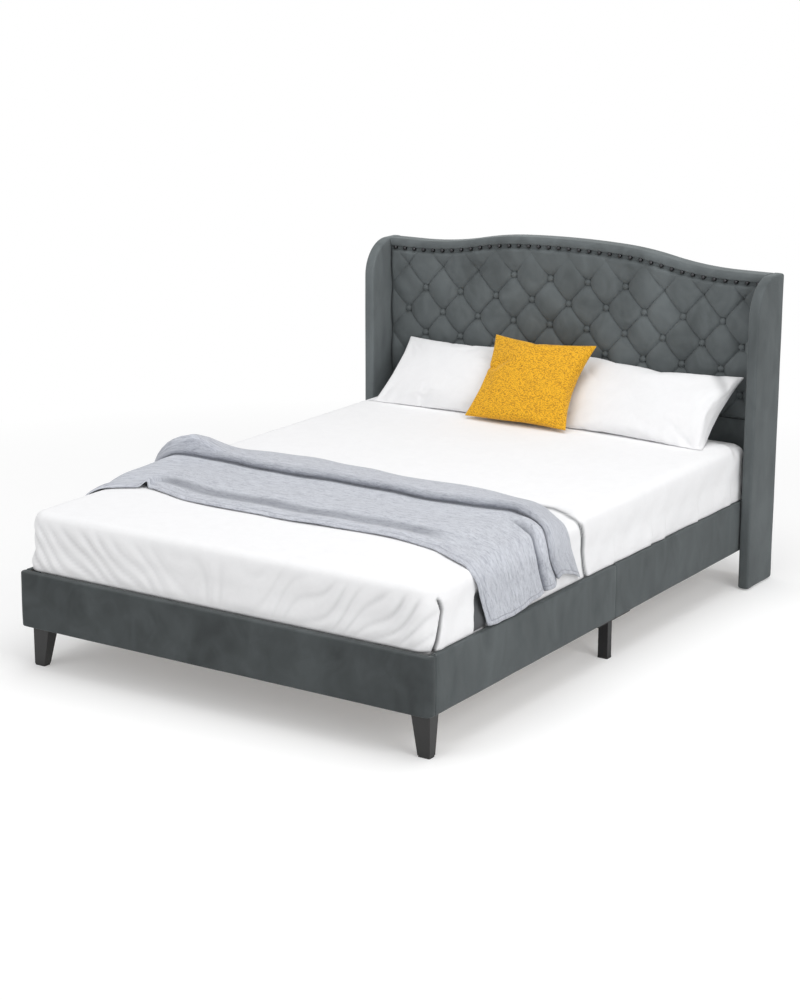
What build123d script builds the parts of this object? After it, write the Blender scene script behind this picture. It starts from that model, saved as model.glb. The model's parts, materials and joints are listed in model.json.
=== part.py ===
from build123d import *
import math
import os

# Upholstered platform bed for a full (double) mattress: a button-tufted wing headboard with a
# camel-back top and a row of nailheads, padded rails on a slatted deck, and the made-up bedding.
# Millimetres, +Z up. The foot is at -Y and the headboard at +Y. The origin lies on the floor
# under the middle of the bed.

# Clearances and cuts
seat_gap = 0.3
slide_fit = 0.2
cut_overrun = 5

# Mattress and fitted sheet
mattress_width = 1372
mattress_length = 1905
mattress_height = 200
mattress_corner_radius = 55
mattress_corner_turns = (0, 30, 60, 90)
mattress_edge_round = 28
mattress_bulge = 12
mattress_side_gap = 3
mattress_foot_gap = 15
mattress_head_gap = 17.5
sheet_thickness = 2
sheet_hem_height = 10
# Heights up the mattress wall, and how far each level draws in, as shares of the edge round
# and of the bulge
wall_height_shares = (0, 0.1, 0.6, 0.9, 1)
wall_round_shares = (0.3, 0, 0, 0.25, 1)
wall_bulge_shares = (0, 0, 1, 0.3, 0)

# Upholstered rails: a board sewn into a cover that is padded on the outer face
face_padding = 6
wrap_thickness = 2
rail_board = 16
foot_board = 25
rail_height = 166
floor_clearance = 127
rail_edge = 3
foot_corner_radius = 20

# Slatted deck
deck_drop = 25
slat_thickness = 14
slat_width = 70
slat_count = 13
slat_edge = 3
slat_end_gap = 3
slat_end_margin = 55
strap_width = 25
strap_thickness = 1.5
strap_place_share = 0.62
ledger_width = 22
ledger_height = 30
beam_width = 30
beam_height = 50
beam_wall = 1.5
splice_length = 260
hanger_plate = 3
hanger_depth = 40
hanger_back_width = 80
hanger_back_drop = 16

# Steel brackets and their bolts
bracket_plate = 3
bracket_height = 68
bracket_arm = 60
bracket_bend_radius = 4
bracket_lift = 25
joint_bracket_length = 200
joint_shelf_outset = 3
joint_shelf_inset = 2
bolt_head_radius = 6.5
bolt_head_height = 4

# Legs
front_leg_top = (61, 45)
front_leg_bottom = (38.7, 28)
front_leg_side_inset = 20.5
front_leg_back_step = 1.6
corner_block_height = 22
corner_block_length = 72
side_leg_width = 32
side_leg_depth = 25
side_leg_outset = 7
leg_wall = 1.5
centre_leg_size = 30
centre_leg_plate = (30, 70, 3)
centre_leg_spacing = 560
glide_height = 5
glide_margin = 1
glide_edge = 1.5
wing_glide_size = 24
wing_glide_height = 3
wing_glide_spacing = 110

# Headboard
headboard_board = 12
timber_depth = 30
stile_width = 45
cross_rail_height = 80
cross_rail_middle = 520
top_rail_drop = 121.5
back_cover_thickness = 1.5
wing_reveal = 3.5
wing_gap = 3.5
panel_gap = 0.5

# Diamond tufting: each pad is a diamond vaulted by two round rolls, with a button sunk at its corners
pad_crown = 21.5
pad_base = 9
pleat_depth = 15
diamonds_across = 10
seam_height = 541
field_pitches = 6
field_top_gap = 27.3
field_rows = 8
field_edge = 11
button_radius = 11.5
button_height = 8
button_sides = 8
button_taper = 32
pocket_gap = 0.8
# Row number from the seam up, and the buttons to each side of the middle
button_row_counts = ((1, 5), (2, 4), (3, 5), (4, 4), (5, 2))

# Camel-back top, from its peak in the middle outwards: radius and turn of each arc
camel_arcs = ((3610, -3), (1153, -8.8), (1200, 11.8))
nail_rise = 30.5
nail_count = 37
nail_margin = 20
nail_radius = 6.2
nail_height = 3.2
nail_sides = 6
nail_taper = 40
nail_strip_height = 19
nail_strip_depth = 19
border_rise = 31
border_depth = 27
border_roof = 8
border_front_edge = 10
lower_panel_depth = 21
lower_panel_radius = 9

# Wings
wing_depth = 183
wing_height = 1016
wing_thickness = 35
wing_padding = 8
wing_arc_radius = 122
wing_edge = 4
# Bolts into the wings: shares of the way up between the cross rails, and from them to the top rail
low_bolt_shares = (0.34,)
high_bolt_shares = (0.22, 0.82)

# Pillows, cushion and throw
pillow_size = (640, 330, 116)
pillow_draw = (14, 12)
pillow_lean = 50
pillow_spread = 322
pillow_rise = 92
pillow_back_gap = 3
cushion_size = (390, 345, 86)
cushion_draw = (15, 15)
cushion_x = -35
cushion_standoff = 80.4
# Levels of a pillow from its seam to its crown, the share its outline has there, and the points
# along each of its sides
crown_shares = (0, 0.3, 0.6, 0.85, 1)
outline_shares = (1, 0.9, 0.73, 0.5, 0.22)
side_shares = (-1, -0.5, 0, 0.5)
throw_thickness = 5
throw_fold_height = 15
throw_hang = 160
throw_side_gap = 4
# Folds across the throw, from its foot edge: place along its width and height, as shares
throw_fold_places = (0, 0.09, 0.2, 0.36, 0.47, 0.58, 0.8, 1)
throw_fold_heights = (0.3, 1, 0.25, 0.35, 0.9, 0.3, 0.5, 0.3)
# The throw's foot and head edge along the mattress, from its foot end, at the hem, halfway up the
# side, over the edge, near the edge, and between there and the middle
throw_right_shares = ((0.118, 0.392), (0.122, 0.39), (0.14, 0.385), (0.16, 0.43), (0.195, 0.485))
throw_middle_shares = (0.187, 0.502)
throw_left_shares = ((0.16, 0.47), (0.16, 0.47), (0.175, 0.475), (0.215, 0.48), (0.215, 0.5))
throw_quarter_share = 0.5

# Sizes and places that follow
sheet_half_gap = sheet_thickness + mattress_side_gap
rail_thickness = face_padding + rail_board + wrap_thickness
foot_thickness = face_padding + foot_board + wrap_thickness
bed_width = mattress_width + 2 * (sheet_half_gap + rail_thickness)
mattress_room = mattress_foot_gap + mattress_length + 2 * sheet_thickness + mattress_head_gap
headboard_stack = pad_crown + pad_base + headboard_board + timber_depth + back_cover_thickness
bed_length = foot_thickness + mattress_room + headboard_stack + wing_reveal

foot_front_y = -bed_length / 2
foot_back_y = foot_front_y + foot_thickness
mattress_front_y = foot_back_y + mattress_foot_gap + sheet_thickness
mattress_middle_y = mattress_front_y + mattress_length / 2
crown_y = foot_back_y + mattress_room
valley_y = crown_y + pad_crown
board_front_y = valley_y + pad_base
board_back_y = board_front_y + headboard_board
timber_back_y = board_back_y + timber_depth
wing_back_y = bed_length / 2
wing_front_y = wing_back_y - wing_depth
lower_panel_y = board_front_y - lower_panel_depth
rail_end_y = lower_panel_y - seat_gap

rail_outer_x = bed_width / 2
rail_inner_x = rail_outer_x - rail_thickness
wing_inner_x = rail_outer_x + wing_gap
wing_core_x = wing_inner_x + wing_padding
wing_core_thickness = wing_thickness - 2 * wing_padding
panel_half = wing_inner_x - panel_gap
button_pitch = 2 * wing_inner_x / diamonds_across

rail_top_z = floor_clearance + rail_height
deck_z = rail_top_z - deck_drop
ledger_top_z = deck_z - slat_thickness
beam_bottom_z = ledger_top_z - beam_height
bracket_bottom_z = floor_clearance + bracket_lift
bracket_middle_z = bracket_bottom_z + bracket_height / 2
mattress_bottom_z = deck_z + seat_gap
sheet_top_z = mattress_bottom_z + mattress_height + sheet_thickness
nail_peak = wing_height + nail_rise
field_peak = nail_peak - nail_strip_height / 2
border_bottom_peak = nail_peak + nail_strip_height / 2
border_peak = nail_peak + border_rise
board_peak = border_peak - border_roof
row_pitch = (nail_peak - field_top_gap - seam_height) / field_pitches
lower_rail_top = floor_clearance + cross_rail_height
middle_rail_bottom = cross_rail_middle - cross_rail_height / 2
middle_rail_top = cross_rail_middle + cross_rail_height / 2
top_rail_bottom = nail_peak - top_rail_drop
outwards = (1, 0, 0)
inwards = (-1, 0, 0)
footwards = (0, -1, 0)
headwards = (0, 1, 0)

os.makedirs("parts", exist_ok=True)


def write(piece, name):
    """Label a finished piece and write it."""
    piece.label = name
    export_step(piece, f"parts/{name}.step")


def write_pair(piece, name):
    """Write a right-hand piece and its mirror image on the left."""
    write(piece, f"{name}_right")
    write(piece.mirror(Plane.YZ), f"{name}_left")


def at_y(y):
    """The upright plane across the bed at y: its sketches have X and Z as their axes."""
    return Plane.XZ.offset(-y)


def half_camel(peak):
    """The camel-back curve from its peak in the middle to its right-hand end."""
    point, direction = (0, peak), (1, 0)
    with BuildLine() as curve:
        for radius, turn in camel_arcs:
            arc = JernArc(point, direction, radius, turn)
            point, direction = arc @ 1, arc % 1
        Line(point, (panel_half, point.Y))
    return curve.wire()


def camel_face(y, peak, bottom=None, bottom_peak=None):
    """Face at y under the camel-back curve, down to a level edge or to a lower such curve."""
    upper = half_camel(peak)
    lower = half_camel(bottom_peak) if bottom is None else Line((0, bottom), (panel_half, bottom))
    with BuildSketch(at_y(y)) as face:
        with BuildLine():
            add(upper)
            add(lower)
            Line(upper @ 1, lower @ 1)
            mirror(about=Plane.YZ)
        make_face()
    return face.sketch


def stud(radius, height, sides, taper):
    """Low many-sided button that stands out towards the foot from the plane y = 0."""
    with BuildPart() as button:
        with BuildSketch(Plane.XZ):
            RegularPolygon(radius, sides)
        extrude(amount=height, taper=taper)
    return button.part


# Foot rail, with rounded outer corners
with BuildPart() as foot_board_part:
    with BuildSketch(Plane.XY.offset(floor_clearance + wrap_thickness)):
        with Locations((0, foot_front_y + face_padding + foot_board / 2)):
            Rectangle(bed_width - 2 * face_padding, foot_board)
    extrude(amount=rail_height - 2 * wrap_thickness)
    outer_corners = foot_board_part.edges().filter_by(Axis.Z).group_by(Axis.Y)[0]
    fillet(outer_corners, foot_corner_radius - face_padding)
write(foot_board_part.part, "foot_rail_board")

with BuildPart() as foot_cover:
    with BuildSketch(Plane.XY.offset(floor_clearance)):
        with Locations((0, foot_front_y + foot_thickness / 2)):
            Rectangle(bed_width, foot_thickness)
    extrude(amount=rail_height)
    outer_corners = foot_cover.edges().filter_by(Axis.Z).group_by(Axis.Y)[0]
    fillet(outer_corners, foot_corner_radius)
    rims = foot_cover.faces().filter_by(Axis.Z).edges()
    chamfer(rims.filter_by(lambda edge: edge.center().Y < foot_back_y), rail_edge)
    add(foot_board_part.part, mode=Mode.SUBTRACT)
write(foot_cover.part, "foot_rail_cover")


def side_rail(half, start_y, end_y):
    """One half of a side rail from start_y to end_y: its board and the cover round it."""
    with BuildPart() as board:
        with BuildSketch(at_y(start_y + wrap_thickness)):
            with Locations((rail_inner_x + wrap_thickness, floor_clearance + wrap_thickness)):
                Rectangle(rail_board, rail_height - 2 * wrap_thickness, align=(Align.MIN, Align.MIN))
        extrude(amount=-(end_y - start_y - 2 * wrap_thickness))
    with BuildPart() as cover:
        with BuildSketch(at_y(start_y)):
            with Locations((rail_inner_x, floor_clearance)):
                Rectangle(rail_thickness, rail_height, align=(Align.MIN, Align.MIN))
        extrude(amount=-(end_y - start_y))
        chamfer(cover.edges().filter_by(Axis.Y).group_by(Axis.X)[-1], rail_edge)
        add(board.part, mode=Mode.SUBTRACT)
    write_pair(board.part, f"side_rail_board_{half}")
    write_pair(cover.part, f"side_rail_cover_{half}")


side_rail("front", foot_back_y + seat_gap, -seat_gap / 2)
side_rail("rear", seat_gap / 2, rail_end_y)


def ledger(half, start_y, end_y):
    """Timber strip along the inside of a side rail that carries the slat ends."""
    with BuildPart() as strip:
        with BuildSketch(at_y(start_y)):
            with Locations((rail_inner_x, ledger_top_z)):
                Rectangle(ledger_width, ledger_height, align=(Align.MAX, Align.MAX))
        extrude(amount=-(end_y - start_y))
        chamfer(strip.edges().filter_by(Axis.Y).group_by(Axis.X)[0], slat_edge)
    write_pair(strip.part, f"slat_ledger_{half}")


ledger("front", foot_back_y + seat_gap, -seat_gap / 2)
ledger("rear", seat_gap / 2, rail_end_y)

# Slats lie across the ledgers and the centre beam, tied together by two straps under them
slat_length = 2 * (rail_inner_x - slat_end_gap)
first_slat_y = foot_back_y + slat_end_margin + slat_width / 2
last_slat_y = rail_end_y - slat_end_margin - slat_width / 2
slat_pitch = (last_slat_y - first_slat_y) / (slat_count - 1)
deck_middle_y = (first_slat_y + last_slat_y) / 2

with BuildPart() as one_slat:
    with BuildSketch(Plane.YZ.offset(-slat_length / 2)):
        with Locations((0, ledger_top_z + slat_thickness / 2)):
            Rectangle(slat_width, slat_thickness)
    extrude(amount=slat_length)
    chamfer(one_slat.edges().filter_by(Axis.X), slat_edge)

with BuildPart() as slats:
    with Locations((0, deck_middle_y, 0)):
        with GridLocations(slat_length, slat_pitch, 1, slat_count):
            add(one_slat.part)
write(slats.part, "slats")

strap_length = last_slat_y - first_slat_y + slat_width - 2 * slat_edge
strap_x = strap_place_share * rail_inner_x
with BuildPart() as straps:
    with Locations((0, deck_middle_y, ledger_top_z - strap_thickness / 2)):
        with GridLocations(2 * strap_x, strap_length, 2, 1):
            Box(strap_width, strap_length, strap_thickness)
write(straps.part, "slat_straps")

# Centre beam in two tubes, joined by a sleeve inside them and hung at both ends
beam_inner_width = beam_width - 2 * beam_wall
beam_inner_height = beam_height - 2 * beam_wall
beam_middle_z = ledger_top_z - beam_height / 2
beam_start_y = foot_back_y + hanger_plate + seat_gap
beam_end_y = rail_end_y - hanger_plate


def square_tube(start_plane, length, width, height, wall):
    """Rectangular tube that starts on a plane and runs along its normal."""
    with BuildPart() as tube:
        with BuildSketch(start_plane):
            Rectangle(width, height)
            Rectangle(width - 2 * wall, height - 2 * wall, mode=Mode.SUBTRACT)
        extrude(amount=length)
    return tube.part


def along_bed(x, y, z):
    """Plane across the bed at a point, whose normal points to the headboard."""
    return Plane(origin=(x, y, z), x_dir=outwards, z_dir=headwards)


def beam_tube(start_y, end_y):
    """One tube of the centre beam from start_y to end_y."""
    start_plane = along_bed(0, start_y, beam_middle_z)
    return square_tube(start_plane, end_y - start_y, beam_width, beam_height, beam_wall)


write(beam_tube(beam_start_y, -seat_gap / 2), "centre_beam_front")
write(beam_tube(seat_gap / 2, beam_end_y), "centre_beam_rear")
splice = square_tube(
    along_bed(0, -splice_length / 2, beam_middle_z),
    splice_length,
    beam_inner_width - 2 * slide_fit,
    beam_inner_height - 2 * slide_fit,
    beam_wall,
)
write(splice, "centre_beam_splice")


def beam_hanger(plate_y, towards):
    """Steel cradle under a beam end: a back plate against the bed and a trough for the tube."""
    cradle_width = beam_width + 2 * (hanger_plate + slide_fit)
    cradle_bottom = beam_bottom_z - hanger_plate
    back_height = beam_height + hanger_plate + hanger_back_drop
    back_plane = Plane(origin=(0, plate_y, ledger_top_z), x_dir=outwards, z_dir=(0, towards, 0))
    up = Align.MIN if towards > 0 else Align.MAX
    with BuildPart() as hanger:
        with BuildSketch(back_plane):
            Rectangle(hanger_back_width, back_height, align=(Align.CENTER, up))
        extrude(amount=hanger_plate)
        with BuildSketch(Plane.XZ.offset(-plate_y)):
            with Locations((0, cradle_bottom)):
                Rectangle(cradle_width, beam_height / 2, align=(Align.CENTER, Align.MIN))
            with Locations((0, beam_bottom_z)):
                Rectangle(
                    beam_width + 2 * slide_fit,
                    beam_height,
                    align=(Align.CENTER, Align.MIN),
                    mode=Mode.SUBTRACT,
                )
        extrude(amount=-towards * (hanger_plate + hanger_depth))
    return hanger.part


write(beam_hanger(foot_back_y, 1), "beam_hanger_foot")
write(beam_hanger(lower_panel_y, -1), "beam_hanger_head")

# Angle brackets that join each side rail to the foot rail and to the headboard


def angle_bracket(wall_y, towards):
    """Bent steel angle in the right-hand corner between a rail and the wall at wall_y."""
    plate_x = rail_inner_x - bracket_plate / 2
    plate_y = wall_y + towards * bracket_plate / 2
    with BuildPart() as bracket:
        with BuildSketch(Plane.XY.offset(bracket_bottom_z)):
            with BuildLine() as bend:
                FilletPolyline(
                    (rail_inner_x - bracket_arm, plate_y),
                    (plate_x, plate_y),
                    (plate_x, wall_y + towards * bracket_arm),
                    radius=bracket_bend_radius,
                )
            trace(lines=bend.line, line_width=bracket_plate)
        extrude(amount=bracket_height)
    return bracket.part


write_pair(angle_bracket(foot_back_y, 1), "corner_bracket")
write_pair(angle_bracket(lower_panel_y, -1), "head_bracket")

# Joint bracket at the middle of each side rail: a flange on both halves and a shelf under them
shelf_start_x = rail_inner_x - bracket_plate - side_leg_width + side_leg_outset - joint_shelf_inset
shelf_end_x = rail_outer_x - joint_shelf_outset
with BuildPart() as joint_bracket:
    with BuildSketch(at_y(-joint_bracket_length / 2)):
        with Locations((rail_inner_x - bracket_plate, floor_clearance - bracket_plate)):
            Rectangle(
                bracket_plate,
                bracket_bottom_z + bracket_height - floor_clearance + bracket_plate,
                align=(Align.MIN, Align.MIN),
            )
        with Locations((shelf_start_x, floor_clearance - bracket_plate)):
            Rectangle(shelf_end_x - shelf_start_x, bracket_plate, align=(Align.MIN, Align.MIN))
    extrude(amount=-joint_bracket_length)
write_pair(joint_bracket.part, "joint_bracket")

# Hex heads of the bolts through the brackets, two to an arm, on the right-hand side


def bolt_heads(seat, spots):
    """Hex heads that stand on a plate, at spots in the plate's own plane."""
    with BuildPart() as heads:
        with BuildSketch(seat):
            with Locations(*spots):
                RegularPolygon(bolt_head_radius, 6)
        extrude(amount=bolt_head_height)
    return heads.part


def levels_between(low, high, shares):
    """Levels at shares of the way up from one level to another."""
    return [low + share * (high - low) for share in shares]


bolt_levels = [bracket_middle_z + side * bracket_height / 4 for side in (-1, 1)]
rail_plate = Plane(origin=(rail_inner_x - bracket_plate, 0, 0), x_dir=headwards, z_dir=inwards)
foot_plate = Plane(origin=(0, foot_back_y + bracket_plate, 0), x_dir=inwards, z_dir=headwards)
head_plate = Plane(origin=(0, lower_panel_y - bracket_plate, 0), x_dir=outwards, z_dir=footwards)
bolt_x = rail_inner_x - bracket_arm / 2
arm_bolt_y = (foot_back_y + bracket_arm / 2, lower_panel_y - bracket_arm / 2)
joint_bolt_y = (-joint_bracket_length / 4, joint_bracket_length / 4)
wing_bolt_y = board_back_y + timber_depth / 2
wing_bolt_levels = levels_between(lower_rail_top, middle_rail_bottom, low_bolt_shares)
wing_bolt_levels += levels_between(middle_rail_top, top_rail_bottom, high_bolt_shares)
stile_plate = Plane(origin=(panel_half - stile_width, 0, 0), x_dir=headwards, z_dir=inwards)
with BuildPart() as frame_bolts:
    add(bolt_heads(rail_plate, [(y, -z) for y in arm_bolt_y + joint_bolt_y for z in bolt_levels]))
    add(bolt_heads(foot_plate, [(-bolt_x, z) for z in bolt_levels]))
    add(bolt_heads(head_plate, [(bolt_x, z) for z in bolt_levels]))
    add(bolt_heads(stile_plate, [(wing_bolt_y, -z) for z in wing_bolt_levels]))
    mirror(about=Plane.YZ)
write(frame_bolts.part, "frame_bolts")

# Tapered front legs under timber corner blocks, outer faces upright
leg_outer_x = rail_outer_x - front_leg_side_inset
leg_front_y = foot_back_y + front_leg_back_step
leg_height = floor_clearance - glide_height


def leg_taper(plane, inward):
    """Side view of a leg: one face upright, the other spreading inward towards the top."""
    top, bottom = (size[0 if inward < 0 else 1] for size in (front_leg_top, front_leg_bottom))
    with BuildSketch(plane) as side_view:
        with BuildLine():
            Polyline((0, 0), (inward * bottom, 0), (inward * top, leg_height), (0, leg_height), close=True)
        make_face()
    return side_view.sketch


with BuildPart() as front_leg:
    origin = (leg_outer_x, leg_front_y, glide_height)
    across = leg_taper(Plane(origin=origin, x_dir=outwards, z_dir=footwards), -1)
    extrude(across, amount=front_leg_top[1], dir=headwards)
    along = leg_taper(Plane(origin=origin, x_dir=headwards, z_dir=outwards), 1)
    extrude(along, amount=front_leg_top[0], dir=inwards, mode=Mode.INTERSECT)
    chamfer(front_leg.edges().filter_by(Axis.Z), glide_edge)
write_pair(front_leg.part, "front_leg")

with BuildPart() as corner_block:
    with BuildSketch(Plane.XY.offset(floor_clearance)):
        with BuildLine():
            corner = (rail_inner_x - seat_gap, foot_back_y + seat_gap)
            Polyline(
                corner,
                (corner[0] - corner_block_length, corner[1]),
                (corner[0] - corner_block_length, corner[1] + corner_block_length / 2),
                (corner[0] - corner_block_length / 2, corner[1] + corner_block_length),
                (corner[0], corner[1] + corner_block_length),
                close=True,
            )
        make_face()
    extrude(amount=corner_block_height)
write_pair(corner_block.part, "corner_block")

# Steel support legs: one under each joint bracket and three under the centre beam
leg_top_z = floor_clearance - bracket_plate
side_leg_x = rail_inner_x + side_leg_outset - side_leg_width / 2
side_leg_foot = Plane(origin=(side_leg_x, 0, glide_height))
side_leg = square_tube(side_leg_foot, leg_top_z - glide_height, side_leg_width, side_leg_depth, leg_wall)
write_pair(side_leg, "side_support_leg")

centre_leg_spots = (-centre_leg_spacing, 0, centre_leg_spacing)
with BuildPart() as centre_legs:
    tube_top_z = beam_bottom_z - centre_leg_plate[2]
    for y in centre_leg_spots:
        foot_plane = Plane(origin=(0, y, glide_height))
        add(square_tube(foot_plane, tube_top_z - glide_height, centre_leg_size, centre_leg_size, leg_wall))
    with BuildSketch(Plane.XY.offset(tube_top_z)):
        with Locations(*[(0, y) for y in centre_leg_spots]):
            Rectangle(*centre_leg_plate[:2])
    extrude(amount=centre_leg_plate[2])
write(centre_legs.part, "centre_legs")

# Plastic glides under every foot
with BuildPart() as leg_glides:
    with Locations((-side_leg_x, 0), (side_leg_x, 0)):
        Box(
            side_leg_width + 2 * glide_margin,
            side_leg_depth + 2 * glide_margin,
            glide_height,
            align=(Align.CENTER, Align.CENTER, Align.MIN),
        )
    with Locations(*[(0, y) for y in centre_leg_spots]):
        Box(
            centre_leg_size + 2 * glide_margin,
            centre_leg_size + 2 * glide_margin,
            glide_height,
            align=(Align.CENTER, Align.CENTER, Align.MIN),
        )
    front_glide = (front_leg_bottom[0] - 2 * glide_margin, front_leg_bottom[1] - 2 * glide_margin)
    front_glide_x = leg_outer_x - front_leg_bottom[0] / 2
    front_glide_y = leg_front_y + front_leg_bottom[1] / 2
    with Locations((-front_glide_x, front_glide_y), (front_glide_x, front_glide_y)):
        Box(*front_glide, glide_height, align=(Align.CENTER, Align.CENTER, Align.MIN))
    chamfer(leg_glides.edges().filter_by(Axis.Z), glide_edge)
write(leg_glides.part, "leg_glides")

# Headboard: a camel-back board on a timber frame, closed at the back by a cloth
with BuildPart() as headboard_board_part:
    extrude(camel_face(board_front_y, board_peak, floor_clearance), amount=headboard_board, dir=headwards)
write(headboard_board_part.part, "headboard_board")

with BuildPart() as stile:
    with BuildSketch(at_y(board_back_y)):
        with Locations((panel_half, floor_clearance)):
            Rectangle(stile_width, top_rail_bottom - floor_clearance, align=(Align.MAX, Align.MIN))
    extrude(amount=-timber_depth)
write_pair(stile.part, "headboard_stile")

cross_half = panel_half - stile_width
with BuildPart() as cross_rails:
    with BuildSketch(at_y(board_back_y)):
        with Locations((0, floor_clearance), (0, middle_rail_bottom)):
            Rectangle(2 * cross_half, cross_rail_height, align=(Align.CENTER, Align.MIN))
    extrude(amount=-timber_depth)
write(cross_rails.part, "headboard_cross_rails")

with BuildPart() as top_rail:
    extrude(camel_face(board_back_y, board_peak, top_rail_bottom), amount=timber_depth, dir=headwards)
write(top_rail.part, "headboard_top_rail")

with BuildPart() as back_cover:
    back_face = camel_face(timber_back_y, board_peak, floor_clearance)
    extrude(back_face, amount=back_cover_thickness, dir=headwards)
write(back_cover.part, "back_cover")

# One tufting pad: a diamond prism vaulted by two rolls that lie along its edges
half_diamond = button_pitch / 2
half_roll = half_diamond * row_pitch / math.hypot(half_diamond, row_pitch)
roll_radius = (half_roll**2 + pleat_depth**2) / (2 * pleat_depth)
with BuildPart() as pad:
    with BuildSketch(at_y(valley_y)):
        with BuildLine():
            Polyline((-half_diamond, 0), (0, -row_pitch), (half_diamond, 0), (0, row_pitch), close=True)
        make_face()
    extrude(amount=pad_crown)
    for lean in (-half_diamond, half_diamond):
        with BuildSketch(Plane(origin=(0, crown_y + roll_radius, 0), z_dir=(lean, 0, row_pitch))):
            Circle(roll_radius)
        extrude(amount=row_pitch + half_diamond, both=True, mode=Mode.INTERSECT)

# Lattice of the tufting: where row and column are both odd or both even there is a corner of the
# diamonds, and elsewhere the middle of one
columns = range(-diamonds_across, diamonds_across + 1)
pad_places = [
    (column * half_diamond, 0, seam_height + row * row_pitch)
    for row in range(field_rows)
    for column in columns
    if (row + column) % 2 == 1
]
button_places = [
    (column * half_diamond, valley_y, seam_height + row * row_pitch)
    for row, each_side in button_row_counts
    for column in columns
    if (row + column) % 2 == 0 and abs(column) < 2 * each_side + (row + 1) % 2
]

with BuildPart() as field_envelope:
    extrude(camel_face(valley_y, field_peak, seam_height), amount=pad_crown, dir=footwards)
    chamfer(field_envelope.faces().sort_by(Axis.Y)[0].edges(), field_edge)

with BuildPart() as tufted_panel:
    with Locations(*pad_places):
        add(pad.part)
    add(field_envelope.part, mode=Mode.INTERSECT)
    extrude(camel_face(valley_y, field_peak, seam_height), amount=pad_base, dir=headwards)
    with Locations(*button_places):
        add(
            stud(button_radius + pocket_gap, pad_crown + cut_overrun, button_sides, 0),
            mode=Mode.SUBTRACT,
        )
write(tufted_panel.part, "tufted_panel")

with BuildPart() as tuft_buttons:
    with Locations(*button_places):
        add(stud(button_radius, button_height, button_sides, button_taper))
write(tuft_buttons.part, "tuft_buttons")

# Nail strip with its row of nailheads, and the padded roll over the top edge
with BuildPart() as nail_strip:
    extrude(
        camel_face(board_front_y, border_bottom_peak, bottom_peak=field_peak),
        amount=nail_strip_depth,
        dir=footwards,
    )
write(nail_strip.part, "nail_strip")

nail_line = half_camel(nail_peak)
strip_front_y = board_front_y - nail_strip_depth
nails_each_side = nail_count // 2
nail_reach_share = 1 - nail_margin / nail_line.length
right_nails = [
    nail_line @ (nail_reach_share * step / nails_each_side) for step in range(nails_each_side + 1)
]
nail_places = {(side * spot.X, strip_front_y, spot.Y) for spot in right_nails for side in (-1, 1)}
with BuildPart() as nailheads:
    with Locations(*sorted(nail_places)):
        add(stud(nail_radius, nail_height, nail_sides, nail_taper))
write(nailheads.part, "nailheads")

with BuildPart() as border:
    extrude(
        camel_face(board_front_y, border_peak, bottom_peak=border_bottom_peak),
        amount=border_depth,
        dir=footwards,
    )
    upper_faces = border.faces().filter_by(lambda face: face.normal_at().Z > 0.5)
    chamfer(upper_faces.edges().group_by(Axis.Y)[0], border_front_edge)
    extrude(
        camel_face(board_front_y, border_peak, bottom_peak=board_peak),
        amount=timber_back_y + back_cover_thickness - board_front_y,
        dir=headwards,
    )
write(border.part, "headboard_border")

with BuildPart() as lower_panel:
    with BuildSketch(at_y(board_front_y)):
        with Locations((0, floor_clearance)):
            Rectangle(2 * panel_half, seam_height - floor_clearance, align=(Align.CENTER, Align.MIN))
    extrude(amount=lower_panel_depth)
    front_top = lower_panel.edges().filter_by(Axis.X).group_by(Axis.Y)[0].sort_by(Axis.Z)[-1]
    fillet(front_top, lower_panel_radius)
write(lower_panel.part, "lower_panel")

# Wings: a board with a rounded top front corner, padded all round


def wing_face(x, inset):
    """Outline of a wing at x, drawn in by inset all round."""
    top_z = wing_height
    with BuildSketch(Plane.YZ.offset(x)) as face:
        with BuildLine():
            Line((wing_front_y, wing_glide_height), (wing_front_y, top_z - wing_arc_radius))
            RadiusArc(
                (wing_front_y, top_z - wing_arc_radius),
                (wing_front_y + wing_arc_radius, top_z),
                wing_arc_radius,
            )
            Polyline(
                (wing_front_y + wing_arc_radius, top_z),
                (wing_back_y, top_z),
                (wing_back_y, wing_glide_height),
                (wing_front_y, wing_glide_height),
            )
        make_face()
        if inset:
            offset(amount=-inset, mode=Mode.REPLACE)
    return face.sketch


with BuildPart() as wing_core:
    extrude(wing_face(wing_core_x, wing_padding), amount=wing_core_thickness, dir=outwards)
write_pair(wing_core.part, "wing_core")

with BuildPart() as wing_cover:
    extrude(wing_face(wing_inner_x, 0), amount=wing_thickness, dir=outwards)
    rims = wing_cover.faces().filter_by(Axis.X).edges()
    rims = rims.filter_by(lambda edge: edge.center().Y < wing_back_y and edge.center().Z > wing_padding)
    chamfer(rims, wing_edge)
    add(wing_core.part, mode=Mode.SUBTRACT)
write_pair(wing_cover.part, "wing_cover")

with BuildPart() as wing_glides:
    glide_middle = (wing_front_y + wing_back_y) / 2
    with Locations((0, glide_middle, 0)):
        with GridLocations(2 * wing_inner_x + wing_thickness, wing_glide_spacing, 2, 2):
            Box(
                wing_glide_size,
                wing_glide_size,
                wing_glide_height,
                align=(Align.CENTER, Align.CENTER, Align.MIN),
            )
    chamfer(wing_glides.edges().filter_by(Axis.Z), glide_edge)
write(wing_glides.part, "wing_glides")

# Soft things are solids in bands: an outline at each level, and flat faces between the levels


def flat_face(*corners):
    """Face of a closed polygon that lies in a plane."""
    return Face(Wire.make_polygon(corners))


def banded_solid(outlines):
    """Solid between the first outline and the last, through those between them."""
    sides = [
        flat_face(lower[k - 1], lower[k], upper[k], upper[k - 1])
        for lower, upper in zip(outlines, outlines[1:])
        for k in range(len(lower))
    ]
    return Solid(Shell([flat_face(*outlines[0]), *sides, flat_face(*outlines[-1])]))


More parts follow.
